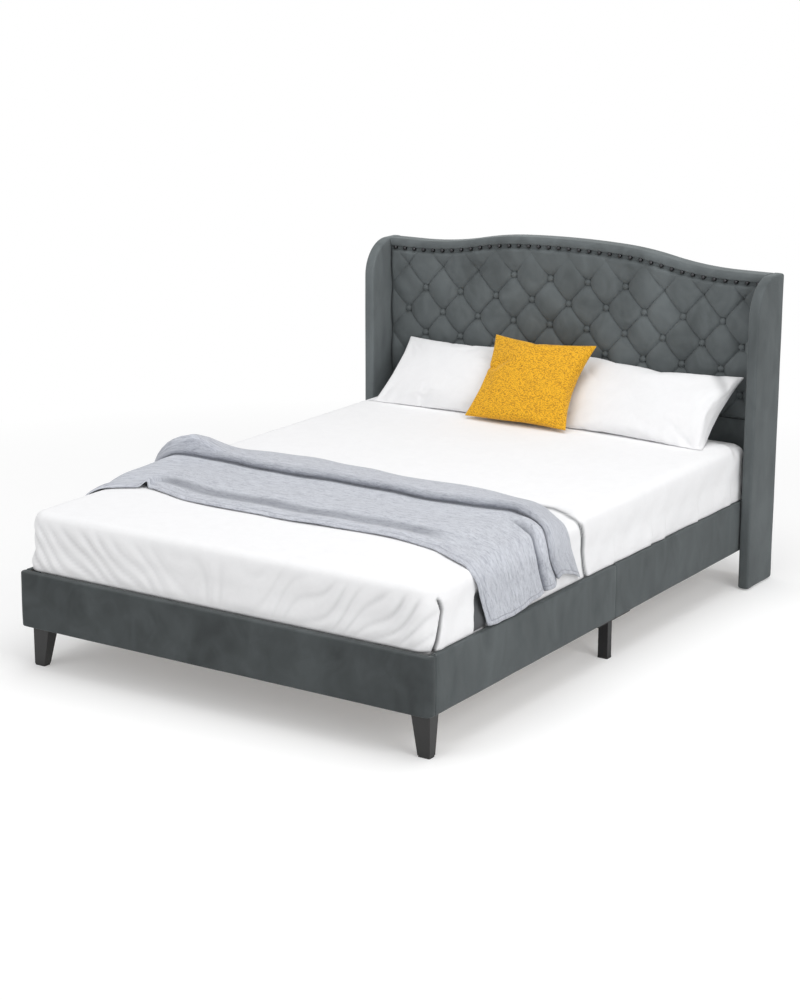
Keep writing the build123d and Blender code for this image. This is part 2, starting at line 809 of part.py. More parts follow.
def mattress_outline(reach, z):
    """Points round the mattress at a height, where it reaches past its nominal size."""
    radius = mattress_corner_radius + reach
    x = mattress_width / 2 - mattress_corner_radius
    y = mattress_length / 2 - mattress_corner_radius
    points = []
    for quarter, (side, end) in enumerate(((1, 1), (-1, 1), (-1, -1), (1, -1))):
        for turn in mattress_corner_turns:
            angle = math.radians(turn + quarter * 90)
            corner = (side * x, mattress_middle_y + end * y)
            points.append((corner[0] + radius * math.cos(angle), corner[1] + radius * math.sin(angle), z))
    return points


def mattress_form(growth):
    """Mattress solid, larger all round by growth, except at the bottom."""
    outlines = []
    for height, round_share, bulge in zip(wall_height_shares, wall_round_shares, wall_bulge_shares):
        reach = growth + bulge * mattress_bulge - round_share * mattress_edge_round
        outlines.append(mattress_outline(reach, mattress_bottom_z + height * (mattress_height + growth)))
    return banded_solid(outlines)


with BuildPart() as mattress:
    add(mattress_form(0))
write(mattress.part, "mattress")

with BuildPart() as fitted_sheet:
    add(mattress_form(sheet_thickness))
    add(mattress.part, mode=Mode.SUBTRACT)
    split(bisect_by=Plane.XY.offset(mattress_bottom_z + sheet_hem_height), keep=Keep.TOP)
write(fitted_sheet.part, "fitted_sheet")


def pillow_outline(plane, size, draw, level, share):
    """Points round a pillow at a level of its plane, its outline shrunk to a share."""
    x, y, z = size[0] / 2 * share, size[1] / 2 * share, size[2] / 2 * level
    side = [(step * x, (1 - step**2) * share * draw[0] - y) for step in side_shares]
    end = [(x - (1 - step**2) * share * draw[1], step * y) for step in side_shares]
    other_half = [(-across, -along) for across, along in side + end]
    return [plane.from_local_coords((across, along, z)) for across, along in side + end + other_half]


def pillow_form(plane, size, draw):
    """Pillow in a plane, crowned on both faces, cut flat where it lies on the bed."""
    front_levels = list(zip(crown_shares, outline_shares))
    back_levels = [(-level, share) for level, share in front_levels[:0:-1]]
    with BuildPart() as form:
        add(banded_solid([pillow_outline(plane, size, draw, *at) for at in back_levels + front_levels]))
        split(bisect_by=Plane.XY.offset(sheet_top_z + seat_gap), keep=Keep.TOP)
    return form.part


def leaning_plane(x, y, z, lean):
    """Plane that leans back to the headboard by an angle from level."""
    return Plane(Location((x, y, z), (lean, 0, 0)))


# Two pillows lean on the headboard side by side
lean = math.radians(pillow_lean)
pillow_y = crown_y - pillow_back_gap - math.cos(lean) * pillow_size[1] / 2
pillow_z = sheet_top_z + pillow_rise
for side, x in (("left", -pillow_spread), ("right", pillow_spread)):
    plane = leaning_plane(x, pillow_y, pillow_z, pillow_lean)
    write(pillow_form(plane, pillow_size, pillow_draw), f"pillow_{side}")

# The cushion leans on both, its lower seam on the sheet
cushion_climb = cushion_size[1] / 2 - (pillow_rise + math.cos(lean) * cushion_standoff) / math.sin(lean)
cushion_plane = leaning_plane(cushion_x, pillow_y, pillow_z, pillow_lean).offset(cushion_standoff)
cushion_plane = cushion_plane.shift_origin(cushion_plane.from_local_coords((0, cushion_climb, 0)))
write(pillow_form(cushion_plane, cushion_size, cushion_draw), "accent_cushion")

# Throw laid across the bed, hanging down both sides, with its folds running along its length
side_x = mattress_width / 2 + mattress_bulge + sheet_thickness + throw_side_gap
hem_z = sheet_top_z - throw_hang
edge_x = side_x - mattress_edge_round
edge_z = sheet_top_z + seat_gap - mattress_edge_round
slant = mattress_edge_round * math.sqrt(2) / 2


def throw_section(x, z, outward, ends):
    """Closed outline of the throw across its folds, at a point of its path."""
    start, end = (mattress_front_y + share * mattress_length for share in ends)
    across = Plane(origin=(x, 0, z), x_dir=headwards, z_dir=Vector(0, 1, 0).cross(Vector(*outward)))
    ridges = [
        (start + place * (end - start), throw_thickness + height * throw_fold_height)
        for place, height in zip(throw_fold_places, throw_fold_heights)
    ]
    with BuildSketch(across) as section:
        with BuildLine():
            Polyline((start, 0), *ridges, (end, 0), close=True)
        make_face()
    return section.sketch


def throw_stations(sign, shares):
    """Sections from the hem of one side up over the edge to a quarter of the top."""
    side = (sign, 0, 0)
    slope = (sign, 0, 1)
    spots = (
        (side_x, hem_z, side),
        (side_x, (hem_z + edge_z) / 2, side),
        (edge_x + slant, edge_z + slant, slope),
        (edge_x, sheet_top_z + seat_gap, (0, 0, 1)),
        (throw_quarter_share * side_x, sheet_top_z + seat_gap, (0, 0, 1)),
    )
    return [throw_section(sign * x, z, outward, ends) for (x, z, outward), ends in zip(spots, shares)]


middle_section = throw_section(0, sheet_top_z + seat_gap, (0, 0, 1), throw_middle_shares)
with BuildPart() as throw:
    loft(
        throw_stations(1, throw_right_shares)
        + [middle_section]
        + throw_stations(-1, throw_left_shares)[::-1],
        ruled=True,
    )
    add(mattress_form(sheet_thickness + seat_gap), mode=Mode.SUBTRACT)
write(throw.part, "throw_blanket")
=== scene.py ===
"""Looks of an upholstered platform bed that is made up for the night.

Metres, +Z up. The foot of the bed is at -Y, the headboard at +Y, and the origin lies on the floor
under the middle of the bed.
"""

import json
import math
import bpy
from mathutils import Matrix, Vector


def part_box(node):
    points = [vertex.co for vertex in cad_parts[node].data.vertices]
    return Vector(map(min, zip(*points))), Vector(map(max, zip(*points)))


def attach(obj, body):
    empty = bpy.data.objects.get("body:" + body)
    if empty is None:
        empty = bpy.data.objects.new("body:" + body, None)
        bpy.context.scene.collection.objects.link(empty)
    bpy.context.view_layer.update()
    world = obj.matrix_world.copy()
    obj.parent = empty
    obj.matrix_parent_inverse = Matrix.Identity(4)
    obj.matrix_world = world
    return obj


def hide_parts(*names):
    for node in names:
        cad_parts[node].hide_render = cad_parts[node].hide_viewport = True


bl_info = {
    "name": "Upholstered platform bed",
    "version": (1, 0, 0),
    "blender": (4, 5, 0),
    "location": "View3D > Sidebar > Bed",
    "description": "Velvet, tufting, timber, steel and bedding of a wing-back platform bed",
    "category": "Object",
}

import bmesh
import bpy
import numpy as np
from mathutils import Vector

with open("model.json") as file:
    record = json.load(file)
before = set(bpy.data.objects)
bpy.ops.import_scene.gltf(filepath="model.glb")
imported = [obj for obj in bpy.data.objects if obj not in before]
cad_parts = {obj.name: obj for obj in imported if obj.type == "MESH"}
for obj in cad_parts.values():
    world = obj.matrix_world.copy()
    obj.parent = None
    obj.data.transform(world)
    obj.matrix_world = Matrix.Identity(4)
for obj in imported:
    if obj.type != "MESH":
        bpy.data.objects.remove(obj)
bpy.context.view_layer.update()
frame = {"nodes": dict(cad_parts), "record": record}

BED = "bed_frame"
VELVET = "grey_velvet"

# Places read from the frame
panel_low, panel_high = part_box("tufted_panel")
strip_low, strip_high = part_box("nail_strip")
border_low, border_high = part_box("headboard_border")
mattress_low, mattress_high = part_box("mattress")
sheet_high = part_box("fitted_sheet")[1]
CROWN_Y = panel_low.y
BOARD_Y = panel_high.y
SEAM_Z = panel_low.z
PANEL_HALF = panel_high.x
SHEET_TOP = sheet_high.z
RAIL_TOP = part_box("foot_rail_cover")[1].z
MATTRESS_BASE = mattress_low.z

# The camel-back curve, from the middle outwards: radius and turn of each arc
CAMEL_ARCS = ((3.610, 3.0), (1.153, 8.8), (1.200, -11.8))
# Lattice of the tufting, and its rows: row number from the seam up, buttons to each side
ROW_PITCH = 0.0797
HALF_DIAMOND = 0.07185
BUTTON_ROWS = ((1, 5), (2, 4), (3, 5), (4, 4), (5, 2))
# Nailheads, how far the last ones stay from the panel's sides, and the height of their strip
NAIL_COUNT = 37
NAIL_MARGIN = 0.020
STRIP_HEIGHT = 0.019
# Thickness of the cloths, and the gap between a filled bag and what it lies on
SHEET_THICKNESS = 0.0006
THROW_THICKNESS = 0.0022
REST_GAP = 0.0015


# Curves and grids


def camel_drop(x):
    """How far the camel-back curve lies below its peak at x.

    Each arc of radius R that starts at slope angle a is z = zc +- sqrt(R^2 - (x - xc)^2), with its centre
    R away from its start, square to the curve. Past the last arc the curve runs level.
    """
    x = np.abs(np.asarray(x, float))
    drop = np.zeros_like(x)
    start_x, start_z, slope = 0.0, 0.0, 0.0
    for radius, turn in CAMEL_ARCS:
        bend = math.copysign(1, turn)
        centre_x = start_x - bend * radius * math.sin(slope)
        centre_z = start_z - bend * radius * math.cos(slope)
        slope += math.radians(turn)
        end_x = centre_x + bend * radius * math.sin(slope)
        inside = (x >= start_x) & (x <= end_x)
        root = np.sqrt(np.maximum(radius**2 - (x - centre_x) ** 2, 0))
        drop = np.where(inside, -(centre_z + bend * root), drop)
        start_x, start_z = end_x, centre_z + bend * radius * math.cos(slope)
    return np.where(x > start_x, -start_z, drop)


def smooth(edge_low, edge_high, value):
    """The smooth step 3t^2 - 2t^3 of a value between two edges."""
    t = np.clip((value - edge_low) / (edge_high - edge_low), 0, 1)
    return t * t * (3 - 2 * t)


def ripple(x, y, wavelength, seed, waves=7):
    """Soft uneven waves between about -1 and 1: a sum of cosines in seeded directions and phases."""
    rng = np.random.default_rng(seed)
    angle = rng.uniform(0, math.tau, waves)
    phase = rng.uniform(0, math.tau, waves)
    size = wavelength * rng.uniform(0.7, 1.6, waves)
    total = np.zeros(np.broadcast(x, y).shape)
    for a, p, s in zip(angle, phase, size):
        total = total + np.cos(math.tau * (x * math.cos(a) + y * math.sin(a)) / s + p)
    return total / math.sqrt(waves * 2)


def through(knots, values, at):
    """Smooth curve through values at knots: cubic Hermite with centred slopes, evaluated at points."""
    knots, values, at = (np.asarray(v, float) for v in (knots, values, at))
    slopes = np.gradient(values, knots, axis=0)
    k = np.clip(np.searchsorted(knots, at, side="right") - 1, 0, len(knots) - 2)
    span = knots[k + 1] - knots[k]
    t = (at - knots[k]) / span
    shape = (-1,) + (1,) * (values.ndim - 1)
    t, span = t.reshape(shape), span.reshape(shape)
    return (
        (2 * t**3 - 3 * t**2 + 1) * values[k]
        + (t**3 - 2 * t**2 + t) * span * slopes[k]
        + (3 * t**2 - 2 * t**3) * values[k + 1]
        + (t**3 - t**2) * span * slopes[k + 1]
    )


def run_along(a, b):
    """Distance along a line of points from its first one to each."""
    return np.concatenate([[0], np.cumsum(np.hypot(np.diff(a), np.diff(b)))])


def rounded_outline(corners, radii, spacings, arc_step=0.004):
    """Closed outline through corners in order, each rounded by its radius.

    The side after a corner is divided by that corner's spacing, and each arc by arc_step.
    """
    corners = np.asarray(corners, float)
    count = len(corners)
    arcs = []
    for k, radius in enumerate(radii):
        back = corners[k - 1] - corners[k]
        ahead = corners[(k + 1) % count] - corners[k]
        back, ahead = back / np.hypot(*back), ahead / np.hypot(*ahead)
        half = math.acos(float(back @ ahead)) / 2
        middle = (back + ahead) / np.hypot(*(back + ahead))
        centre = corners[k] + middle * radius / math.sin(half)
        first = corners[k] + back * radius / math.tan(half) - centre
        turn = math.copysign(math.pi - 2 * half, -np.linalg.det([back, ahead]))
        steps = max(3, round(abs(turn) * radius / arc_step))
        angle = math.atan2(first[1], first[0]) + np.linspace(0, turn, steps + 1)
        arcs.append(centre + radius * np.stack([np.cos(angle), np.sin(angle)], -1))
    points = []
    for k, spacing in enumerate(spacings):
        start, end = arcs[k][-1], arcs[(k + 1) % count][0]
        steps = max(1, round(np.hypot(*(end - start)) / spacing))
        share = np.linspace(0, 1, steps + 1)[1:-1, None]
        points += [arcs[k], start + share * (end - start)]
    return np.concatenate(points)


def box_outline(x0, y0, x1, y1, radii, spacings, arc_step=0.004):
    """Rounded outline of a rectangle, from its lowest corner anticlockwise."""
    return rounded_outline([(x0, y0), (x1, y0), (x1, y1), (x0, y1)], radii, spacings, arc_step)


def outward_normals(outline):
    """Unit normals of a closed outline that runs anticlockwise, from its neighbours on each side."""
    along = np.roll(outline, -1, 0) - np.roll(outline, 1, 0)
    normal = np.stack([along[:, 1], -along[:, 0]], -1)
    return normal / np.linalg.norm(normal, axis=1, keepdims=True)


def grid_faces(rows, columns, wrap=False, first=0):
    """Quads of a grid of rows and columns; with wrap the last column joins the first."""
    last = columns if wrap else columns - 1
    row, column = np.meshgrid(np.arange(rows - 1), np.arange(last), indexing="ij")
    ahead = (column + 1) % columns
    corners = [row * columns + column, row * columns + ahead]
    corners += [(row + 1) * columns + ahead, (row + 1) * columns + column]
    return np.stack(corners, -1).reshape(-1, 4) + first


# Pieces


def add_note(mesh, key, values):
    """Keep a value for every point as an attribute that a material reads."""
    note = mesh.attributes.new(key, "FLOAT", "POINT")
    note.data.foreach_set("value", np.ascontiguousarray(values, np.float32).ravel())


def make_piece(name, points, faces, uv=None, weld=0.0, **notes):
    """Mesh object at the origin from points and faces, shaded smooth, its faces turned outwards.

    Each note is a value for every point, kept as an attribute that a material reads.
    """
    mesh = bpy.data.meshes.new(name)
    mesh.from_pydata(np.asarray(points).reshape(-1, 3).tolist(), [], [list(map(int, f)) for f in faces])
    if uv is not None:
        corner = np.zeros(len(mesh.loops), np.int32)
        mesh.loops.foreach_get("vertex_index", corner)
        layer = mesh.uv_layers.new(name="weave")
        layer.data.foreach_set("uv", np.asarray(uv, np.float32).reshape(-1, 2)[corner].ravel())
    for key, values in notes.items():
        add_note(mesh, key, values)
    form = bmesh.new()
    form.from_mesh(mesh)
    if weld:
        bmesh.ops.remove_doubles(form, verts=form.verts, dist=weld)
        bmesh.ops.dissolve_degenerate(form, edges=form.edges, dist=weld)
    bmesh.ops.recalc_face_normals(form, faces=form.faces)
    form.to_mesh(mesh)
    form.free()
    mesh.polygons.foreach_set("use_smooth", np.ones(len(mesh.polygons), bool))
    mesh.update()
    piece = bpy.data.objects.new(name, mesh)
    bpy.context.scene.collection.objects.link(piece)
    return piece


def dress(piece, material, slot, body, *nodes):
    """Give a piece its material and body, and hide the nodes that it stands for; slot is not used."""
    piece.data.materials.clear()
    piece.data.materials.append(material)
    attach(piece, body)
    if nodes:
        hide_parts(*nodes)


def upholster(piece, colours, part, node):
    """Cover a piece in the bed's velvet, as a padded part of the frame that stands for a node."""
    dress(piece, velvet_of(colours, part), VELVET, BED, node)


def thicken(piece, thickness, offset):
    """Give cloth its thickness, inwards where offset is -1 and outwards where it is 1."""
    solid = piece.modifiers.new("cloth_thickness", "SOLIDIFY")
    solid.thickness = thickness
    solid.offset = offset


def tube_faces(rows, columns):
    """Faces of a grid whose last column joins the first, with a cap on its first and last rows."""
    faces = [list(face) for face in grid_faces(rows, columns, wrap=True)]
    return [*faces, list(range(columns))[::-1], list(range((rows - 1) * columns, rows * columns))]


def closed_front(grid, back_y):
    """Points and faces of a grid that faces the foot, closed by a rim to a flat back at back_y."""
    rows, columns = grid.shape[:2]
    faces = [list(face) for face in grid_faces(rows, columns)]
    index = np.arange(rows * columns).reshape(rows, columns)
    loop = np.concatenate([index[0, :-1], index[:-1, -1], index[-1, :0:-1], index[:0:-1, 0]])
    points = grid.reshape(-1, 3)
    rim = points[loop].copy()
    rim[:, 1] = back_y
    behind = len(points) + np.arange(len(loop))
    ahead = np.roll(np.arange(len(loop)), -1)
    faces += [[loop[k], loop[j], behind[j], behind[k]] for k, j in enumerate(ahead)]
    faces.append(list(behind[::-1]))
    return np.concatenate([points, rim]), faces


def soft_block(name, outline, low, high, place, edge, crown, spine, seed, wave=0.0006):
    """Padded block: an outline carried through its thickness, with rounded rims and crowned faces.

    At depth c from low to high the outline stands out by crown * (1 - (2c - 1)^2) and draws in by a
    quarter circle of radius edge at each rim. Each face runs on from its rim towards the spine, a line of
    points that pair with the outline's. Slow waves of a fraction of a millimetre keep the padding from
    being flat. place turns (outline a, outline b, depth) into x, y, z.
    """
    normal = outward_normals(outline)
    quarter = np.linspace(0, math.pi / 2, 6)
    rim_inset = edge * (1 - np.cos(quarter))
    rim_depth = edge * (1 - np.sin(quarter))
    levels = np.linspace(0, 1, 9)[1:-1]
    inset = np.concatenate([rim_inset[::-1], 0 * levels, rim_inset])
    side_depth = low + edge + levels * (high - low - 2 * edge)
    depth = np.concatenate([low + rim_depth[::-1], side_depth, high - rim_depth])
    share = (depth - low) / (high - low)
    bulge = crown * (1 - (2 * share - 1) ** 2)
    rings = outline[None] + normal[None] * (bulge - inset)[:, None, None]
    length = np.cumsum(np.linalg.norm(np.roll(outline, -1, 0) - outline, axis=1))
    rings += normal[None] * (wave * ripple(length[None], depth[:, None], 0.22, seed))[..., None]
    depths = np.repeat(depth[:, None], len(outline), 1)
    faces_in = np.array([0.12, 0.35, 0.65, 0.9])
    inwards = [rings[0] + s * (spine - rings[0]) for s in faces_in[::-1]]
    outwards = [rings[-1] + s * (spine - rings[-1]) for s in faces_in]
    lift = crown * 0.7 * (1 - (1 - faces_in) ** 2)
    below = [np.full(len(outline), low - rise) for rise in lift[::-1]]
    above = [np.full(len(outline), high + rise) for rise in lift]
    rings = np.concatenate([inwards, rings, outwards])
    depths = np.concatenate([below, depths, above])
    points = place(rings[..., 0], rings[..., 1], depths)
    return make_piece(name, points, tube_faces(*depths.shape))


def stacked(a, b, c):
    """One array of points from three arrays of coordinates."""
    return np.stack(np.broadcast_arrays(a, b, c), -1)


def domes(name, places, radius, height, skirt, sides=20, rings=7):
    """Rounded buttons that face the foot, standing at places.

    At angle a from the middle of a button its radius is radius * sin(a) and its height is
    height * cos(a), and a skirt carries the last ring back into what the button sits on.
    """
    around = np.linspace(0, math.tau, sides, endpoint=False)
    fall = np.linspace(0, math.pi / 2, rings)[1:]
    radial = np.append(radius * np.sin(fall), radius)
    rise = np.append(height * np.cos(fall), -skirt)
    ring = stacked(
        radial[:, None] * np.cos(around), -rise[:, None] + 0 * around, radial[:, None] * np.sin(around)
    ).reshape(-1, 3)
    one = np.concatenate([ring, [[0, -height, 0], [0, skirt, 0]]])
    tip, heel = len(ring), len(ring) + 1
    last = rings - 1
    quads = [list(face) for face in grid_faces(rings, sides, wrap=True)]
    caps = [[tip, k, (k + 1) % sides] for k in range(sides)]
    caps += [[heel, last * sides + (k + 1) % sides, last * sides + k] for k in range(sides)]
    faces = [[i + k * len(one) for i in face] for k in range(len(places)) for face in quads + caps]
    points = np.concatenate([one + np.asarray(place) for place in places])
    return make_piece(name, points, faces)


# Materials


class NodeTree:
    """Nodes of a material or world: they are added by kind and joined by socket."""

    def __init__(self, owner):
        owner.use_nodes = True
        self.tree = owner.node_tree

    def node(self, kind, settings=None, **inputs):
        """Add a node; an input is a value, or the output socket of another node."""
        node = self.tree.nodes.new(kind)
        for key, value in (settings or {}).items():
            setattr(node, key, value)
        for key, value in inputs.items():
            socket = node.inputs[int(key[1:]) if key[1:].isdigit() else key.replace("_", " ")]
            if isinstance(value, bpy.types.NodeSocket):
                self.tree.links.new(value, socket)
            else:
                socket.default_value = value
        return node


class Finish(NodeTree):
    """A material of the object under construction, on the Principled shader."""

    def __init__(self, name, **surface):
        self.material = bpy.data.materials.new(name)
        super().__init__(self.material)
        self.shader = self.tree.nodes["Principled BSDF"]
        for socket, value in surface.items():
            self.shader.inputs[socket.replace("_", " ")].default_value = value
        self.where = self.node("ShaderNodeTexCoord")

    def stretched(self, scale, source="Object"):
        """Coordinates of the piece, scaled by axis."""
        mapping = self.node("ShaderNodeMapping", Vector=self.where.outputs[source], Scale=scale)
        return mapping.outputs["Vector"]

    def noise(self, scale, detail=3.0, rough=0.5, warp=0.0, along=(1, 1, 1), source="Object"):
        """Noise of a scale, stretched along the axes."""
        place = self.stretched(along, source)
        noise = self.node(
            "ShaderNodeTexNoise", Vector=place, Scale=scale, Detail=detail, Roughness=rough, Distortion=warp
        )
        return noise.outputs["Fac"]

    def ramp(self, factor, *stops):
        """Colour ramp with stops of a place and a colour."""
        node = self.node("ShaderNodeValToRGB", Fac=factor)
        elements = node.color_ramp.elements
        while len(elements) < len(stops):
            elements.new(0.5)
        for element, (place, colour) in zip(elements, stops):
            element.position = place
            element.color = (*colour[:3], 1)
        return node.outputs["Color"]

    def blend(self, factor, first, second, mode="MIX"):
        """Mix of two colours by a factor."""
        node = self.node("ShaderNodeMix", {"data_type": "RGBA", "blend_type": mode}, _0=factor)
        for index, value in ((6, first), (7, second)):
            if isinstance(value, bpy.types.NodeSocket):
                self.tree.links.new(value, node.inputs[index])
            else:
                node.inputs[index].default_value = (*value[:3], 1)
        return node.outputs[2]

    def note(self, name):
        """Value of one of the piece's attributes."""
        return self.node("ShaderNodeAttribute", {"attribute_name": name}).outputs["Fac"]

    def shaded(self, tone, value, *stops):
        """A tone multiplied by a ramp of a value."""
        return self.blend(1.0, tone, self.ramp(value, *stops), "MULTIPLY")

    def bump(self, height, depth, strength=1.0, over=None):
        """Bump of a depth in metres, over the normal of an earlier bump."""
        node = self.node("ShaderNodeBump", Height=height, Distance=depth, Strength=strength)
        if over is not None:
            self.tree.links.new(over, node.inputs["Normal"])
        return node.outputs["Normal"]

    def finish(self, colour, normal, roughness=None):
        """Join what was made to the surface and return the material."""
        for socket, value in (("Base Color", colour), ("Normal", normal), ("Roughness", roughness)):
            if value is not None:
                self.tree.links.new(value, self.shader.inputs[socket])
        return self.material


def shade(colour, factor):
    """A colour made darker or lighter by a factor."""
    return tuple(min(1.0, channel * factor) for channel in colour[:3])


def velvet(name, colour, nap, upright):
    """Short pile velvet: soft clouds and brushed patches in the nap, a low sheen and a fine pile.

    Below 1, upright draws the patches out along the height.
    """
    make = Finish(name, Roughness=0.86, Sheen_Weight=0.30, Sheen_Roughness=0.35)
    make.shader.inputs["Sheen Tint"].default_value = (0.80, 0.86, 0.86, 1)
    make.shader.inputs["Specular IOR Level"].default_value = 0.2
    clouds = make.noise(5.5, detail=3.0, rough=0.55, warp=0.8, along=(1, 1, upright))
    brush = make.noise(12.0, detail=2.0, rough=0.5, warp=1.2, along=(1.0, 1.0, upright))
    marks = make.blend(0.42, clouds, brush)
    tone = make.ramp(marks, (0.34, shade(colour, 1 - nap)), (0.5, colour), (0.66, shade(colour, 1 + nap)))
    pile = make.noise(1300.0, detail=2.0)
    tone = make.blend(0.10, tone, make.ramp(pile, (0.3, shade(colour, 0.4)), (0.7, shade(colour, 1.9))))
    normal = make.bump(pile, 0.0004, 0.35)
    normal = make.bump(clouds, 0.005, 0.25, normal)
    return make.finish(tone, normal)


def cotton(name, colour):
    """Plain woven cotton: fine crossed threads, a faint crumple, and painted shade in the tucks and folds.

    The attribute crease is 1 where the painted shade is darkest, at the bottom of a tuck or fold, and 0 on
    open cloth.
    """
    make = Finish(name, Roughness=0.9, Sheen_Weight=0.12, Sheen_Roughness=0.5)
    make.shader.inputs["Specular IOR Level"].default_value = 0.2
    warp = make.noise(1500.0, detail=1.0, along=(1, 0.12, 1))
    weft = make.noise(1500.0, detail=1.0, along=(0.12, 1, 0.5))
    threads = make.blend(0.5, warp, weft)
    crumple = make.noise(26.0, detail=5.0, rough=0.62, warp=0.9)
    tone = make.ramp(crumple, (0.25, shade(colour, 0.965)), (0.7, colour))
    # Painted shade: the cloth darkens to near black where the attribute crease is high
    painted_shade_stops = ((0.0, (1, 1, 1)), (0.8, (0.24, 0.245, 0.25)), (1.0, (0.12, 0.125, 0.13)))
    tone = make.shaded(tone, make.note("crease"), *painted_shade_stops)
    normal = make.bump(threads, 0.0003, 0.4)
    normal = make.bump(crumple, 0.0016, 0.35, normal)
    return make.finish(tone, normal)


def chenille(name, colour, shadow):
    """Ribbed chenille: short plump tufts in rows, with painted light on top and painted shade between."""
    make = Finish(name, Roughness=0.88, Sheen_Weight=0.35, Sheen_Roughness=0.4)
    make.shader.inputs["Sheen Tint"].default_value = (1.0, 0.8, 0.35, 1)
    place = make.stretched((160, 350, 1), "UV")
    tuft = make.node("ShaderNodeTexVoronoi", {"feature": "SMOOTH_F1"}, Vector=place, Scale=1.0, Smoothness=0.3)
    tuft.inputs["Randomness"].default_value = 0.8
    dashes = make.noise(1.0, detail=3.0, rough=0.6, warp=0.5, along=(220, 520, 1), source="UV")
    pattern = make.blend(0.5, tuft.outputs["Distance"], dashes)
    # Painted light on the tufts' tops and painted shade between them
    tone = make.ramp(
        pattern, (0.28, shade(colour, 1.18)), (0.46, colour), (0.62, shadow), (0.78, shade(shadow, 0.6))
    )
    fibre = make.noise(900.0, detail=2.0)
    raised = make.node("ShaderNodeMath", {"operation": "SUBTRACT"}, _0=1.0, _1=pattern)
    normal = make.bump(fibre, 0.0004, 0.4)
    normal = make.bump(raised.outputs[0], 0.0022, 0.8, normal)
    return make.finish(tone, normal)


def crinkled(name, colour, shadow):
    """Crinkled throw: short irregular pleats along its length, with painted highlights on their ridges and
    painted shade in their valleys, and a stitched double hem.

    The hem's stitches lie where the attribute hem, the distance to the nearest edge, is 14 mm, and the
    attribute crease is 1 where shade is painted darkest in a fold and 0 on open cloth.
    """
    make = Finish(name, Roughness=0.92, Sheen_Weight=0.2, Sheen_Roughness=0.5)
    pleats = make.noise(1.0, detail=5.0, rough=0.62, warp=0.9, along=(30, 120, 1), source="UV")
    fine = make.noise(1.0, detail=3.0, rough=0.6, warp=0.5, along=(130, 520, 1), source="UV")
    weave = make.blend(0.4, pleats, fine)
    # Painted shade in the pleats' valleys and painted highlights on their ridges
    tone = make.ramp(weave, (0.38, shadow), (0.50, colour), (0.64, shade(colour, 1.16)))
    away = make.node("ShaderNodeMath", {"operation": "SUBTRACT"}, _0=make.note("hem"), _1=0.014).outputs[0]
    away = make.node("ShaderNodeMath", {"operation": "ABSOLUTE"}, _0=away).outputs[0]
    stitch = make.node("ShaderNodeMapRange", Value=away, From_Min=0.0, From_Max=0.0026).outputs[0]
    tone = make.shaded(tone, stitch, (0.0, (0.72, 0.72, 0.75)), (1.0, (1, 1, 1)))
    # Painted shade in the throw's folds, from the attribute crease
    tone = make.shaded(tone, make.note("crease"), (0.0, (1, 1, 1)), (1.0, (0.30, 0.31, 0.34)))
    normal = make.bump(fine, 0.0008, 0.6)
    normal = make.bump(pleats, 0.0060, 0.9, normal)
    normal = make.bump(stitch, 0.0015, 0.8, normal)
    return make.finish(tone, normal)


def timber(name, colour, along, shine=0.6):
    """Planed wood: long grain lines and darker pores along one axis."""
    make = Finish(name, Roughness=shine)
    stretch = [30.0, 30.0, 30.0]
    stretch["xyz".index(along)] = 1.6
    grain = make.noise(1.0, detail=6.0, rough=0.6, warp=0.7, along=stretch)
    pores = make.noise(6.0, detail=2.0, along=stretch)
    tone = make.ramp(grain, (0.3, shade(colour, 0.72)), (0.5, colour), (0.7, shade(colour, 1.12)))
    tone = make.blend(0.18, tone, make.ramp(pores, (0.42, shade(colour, 0.45)), (0.5, colour)))
    return make.finish(tone, make.bump(grain, 0.0004, 0.4))


def coated(name, colour, metallic, rough, grain=700.0):
    """Painted, plated or moulded surface: fine orange peel and slightly uneven gloss."""
    make = Finish(name, Metallic=metallic)
    peel = make.noise(grain, detail=2.0)
    smudge = make.noise(14.0, detail=4.0, warp=0.5)
    tone = make.ramp(smudge, (0.3, shade(colour, 0.85)), (0.7, shade(colour, 1.15)))
    gloss = make.ramp(smudge, (0.3, (rough * 0.85,) * 3), (0.7, (min(1, rough * 1.15),) * 3))
    return make.finish(tone, make.bump(peel, 0.0002, 0.5), gloss)


def cloth_backing(name, colour):
    """Non-woven black dust cloth and webbing: a matt felt of fine fibres with a dotted bond."""
    make = Finish(name, Roughness=0.95)
    fibre = make.noise(420.0, detail=4.0, rough=0.7)
    dots = make.node(
        "ShaderNodeTexVoronoi", Vector=make.stretched((260, 260, 260)), Scale=1.0, Randomness=0.1
    ).outputs["Distance"]
    tone = make.ramp(fibre, (0.3, shade(colour, 0.6)), (0.7, shade(colour, 1.6)))
    return make.finish(tone, make.bump(dots, 0.0002, 0.4, make.bump(fibre, 0.0003, 0.5)))


def ticking(name, colour):
    """Knitted mattress ticking, puffed between crossed quilting lines."""
    make = Finish(name, Roughness=0.85, Sheen_Weight=0.15)
    knit = make.noise(900.0, detail=2.0, along=(1, 0.4, 1))
    place = make.stretched((16, 16, 16))
    turned = make.node("ShaderNodeVectorRotate", {"rotation_type": "Z_AXIS"}, Vector=place, Angle=math.pi / 4)
    edges = {"feature": "DISTANCE_TO_EDGE"}
    quilt = make.node("ShaderNodeTexVoronoi", edges, Vector=turned.outputs[0], Scale=1.0, Randomness=0.0)
    quilt = quilt.outputs["Distance"]
    tone = make.ramp(quilt, (0.0, shade(colour, 0.86)), (0.06, colour))
    soft = make.ramp(quilt, (0.0, (0, 0, 0)), (0.3, (1, 1, 1)))
    return make.finish(tone, make.bump(soft, 0.003, 0.6, make.bump(knit, 0.0003, 0.4)))


# Settings


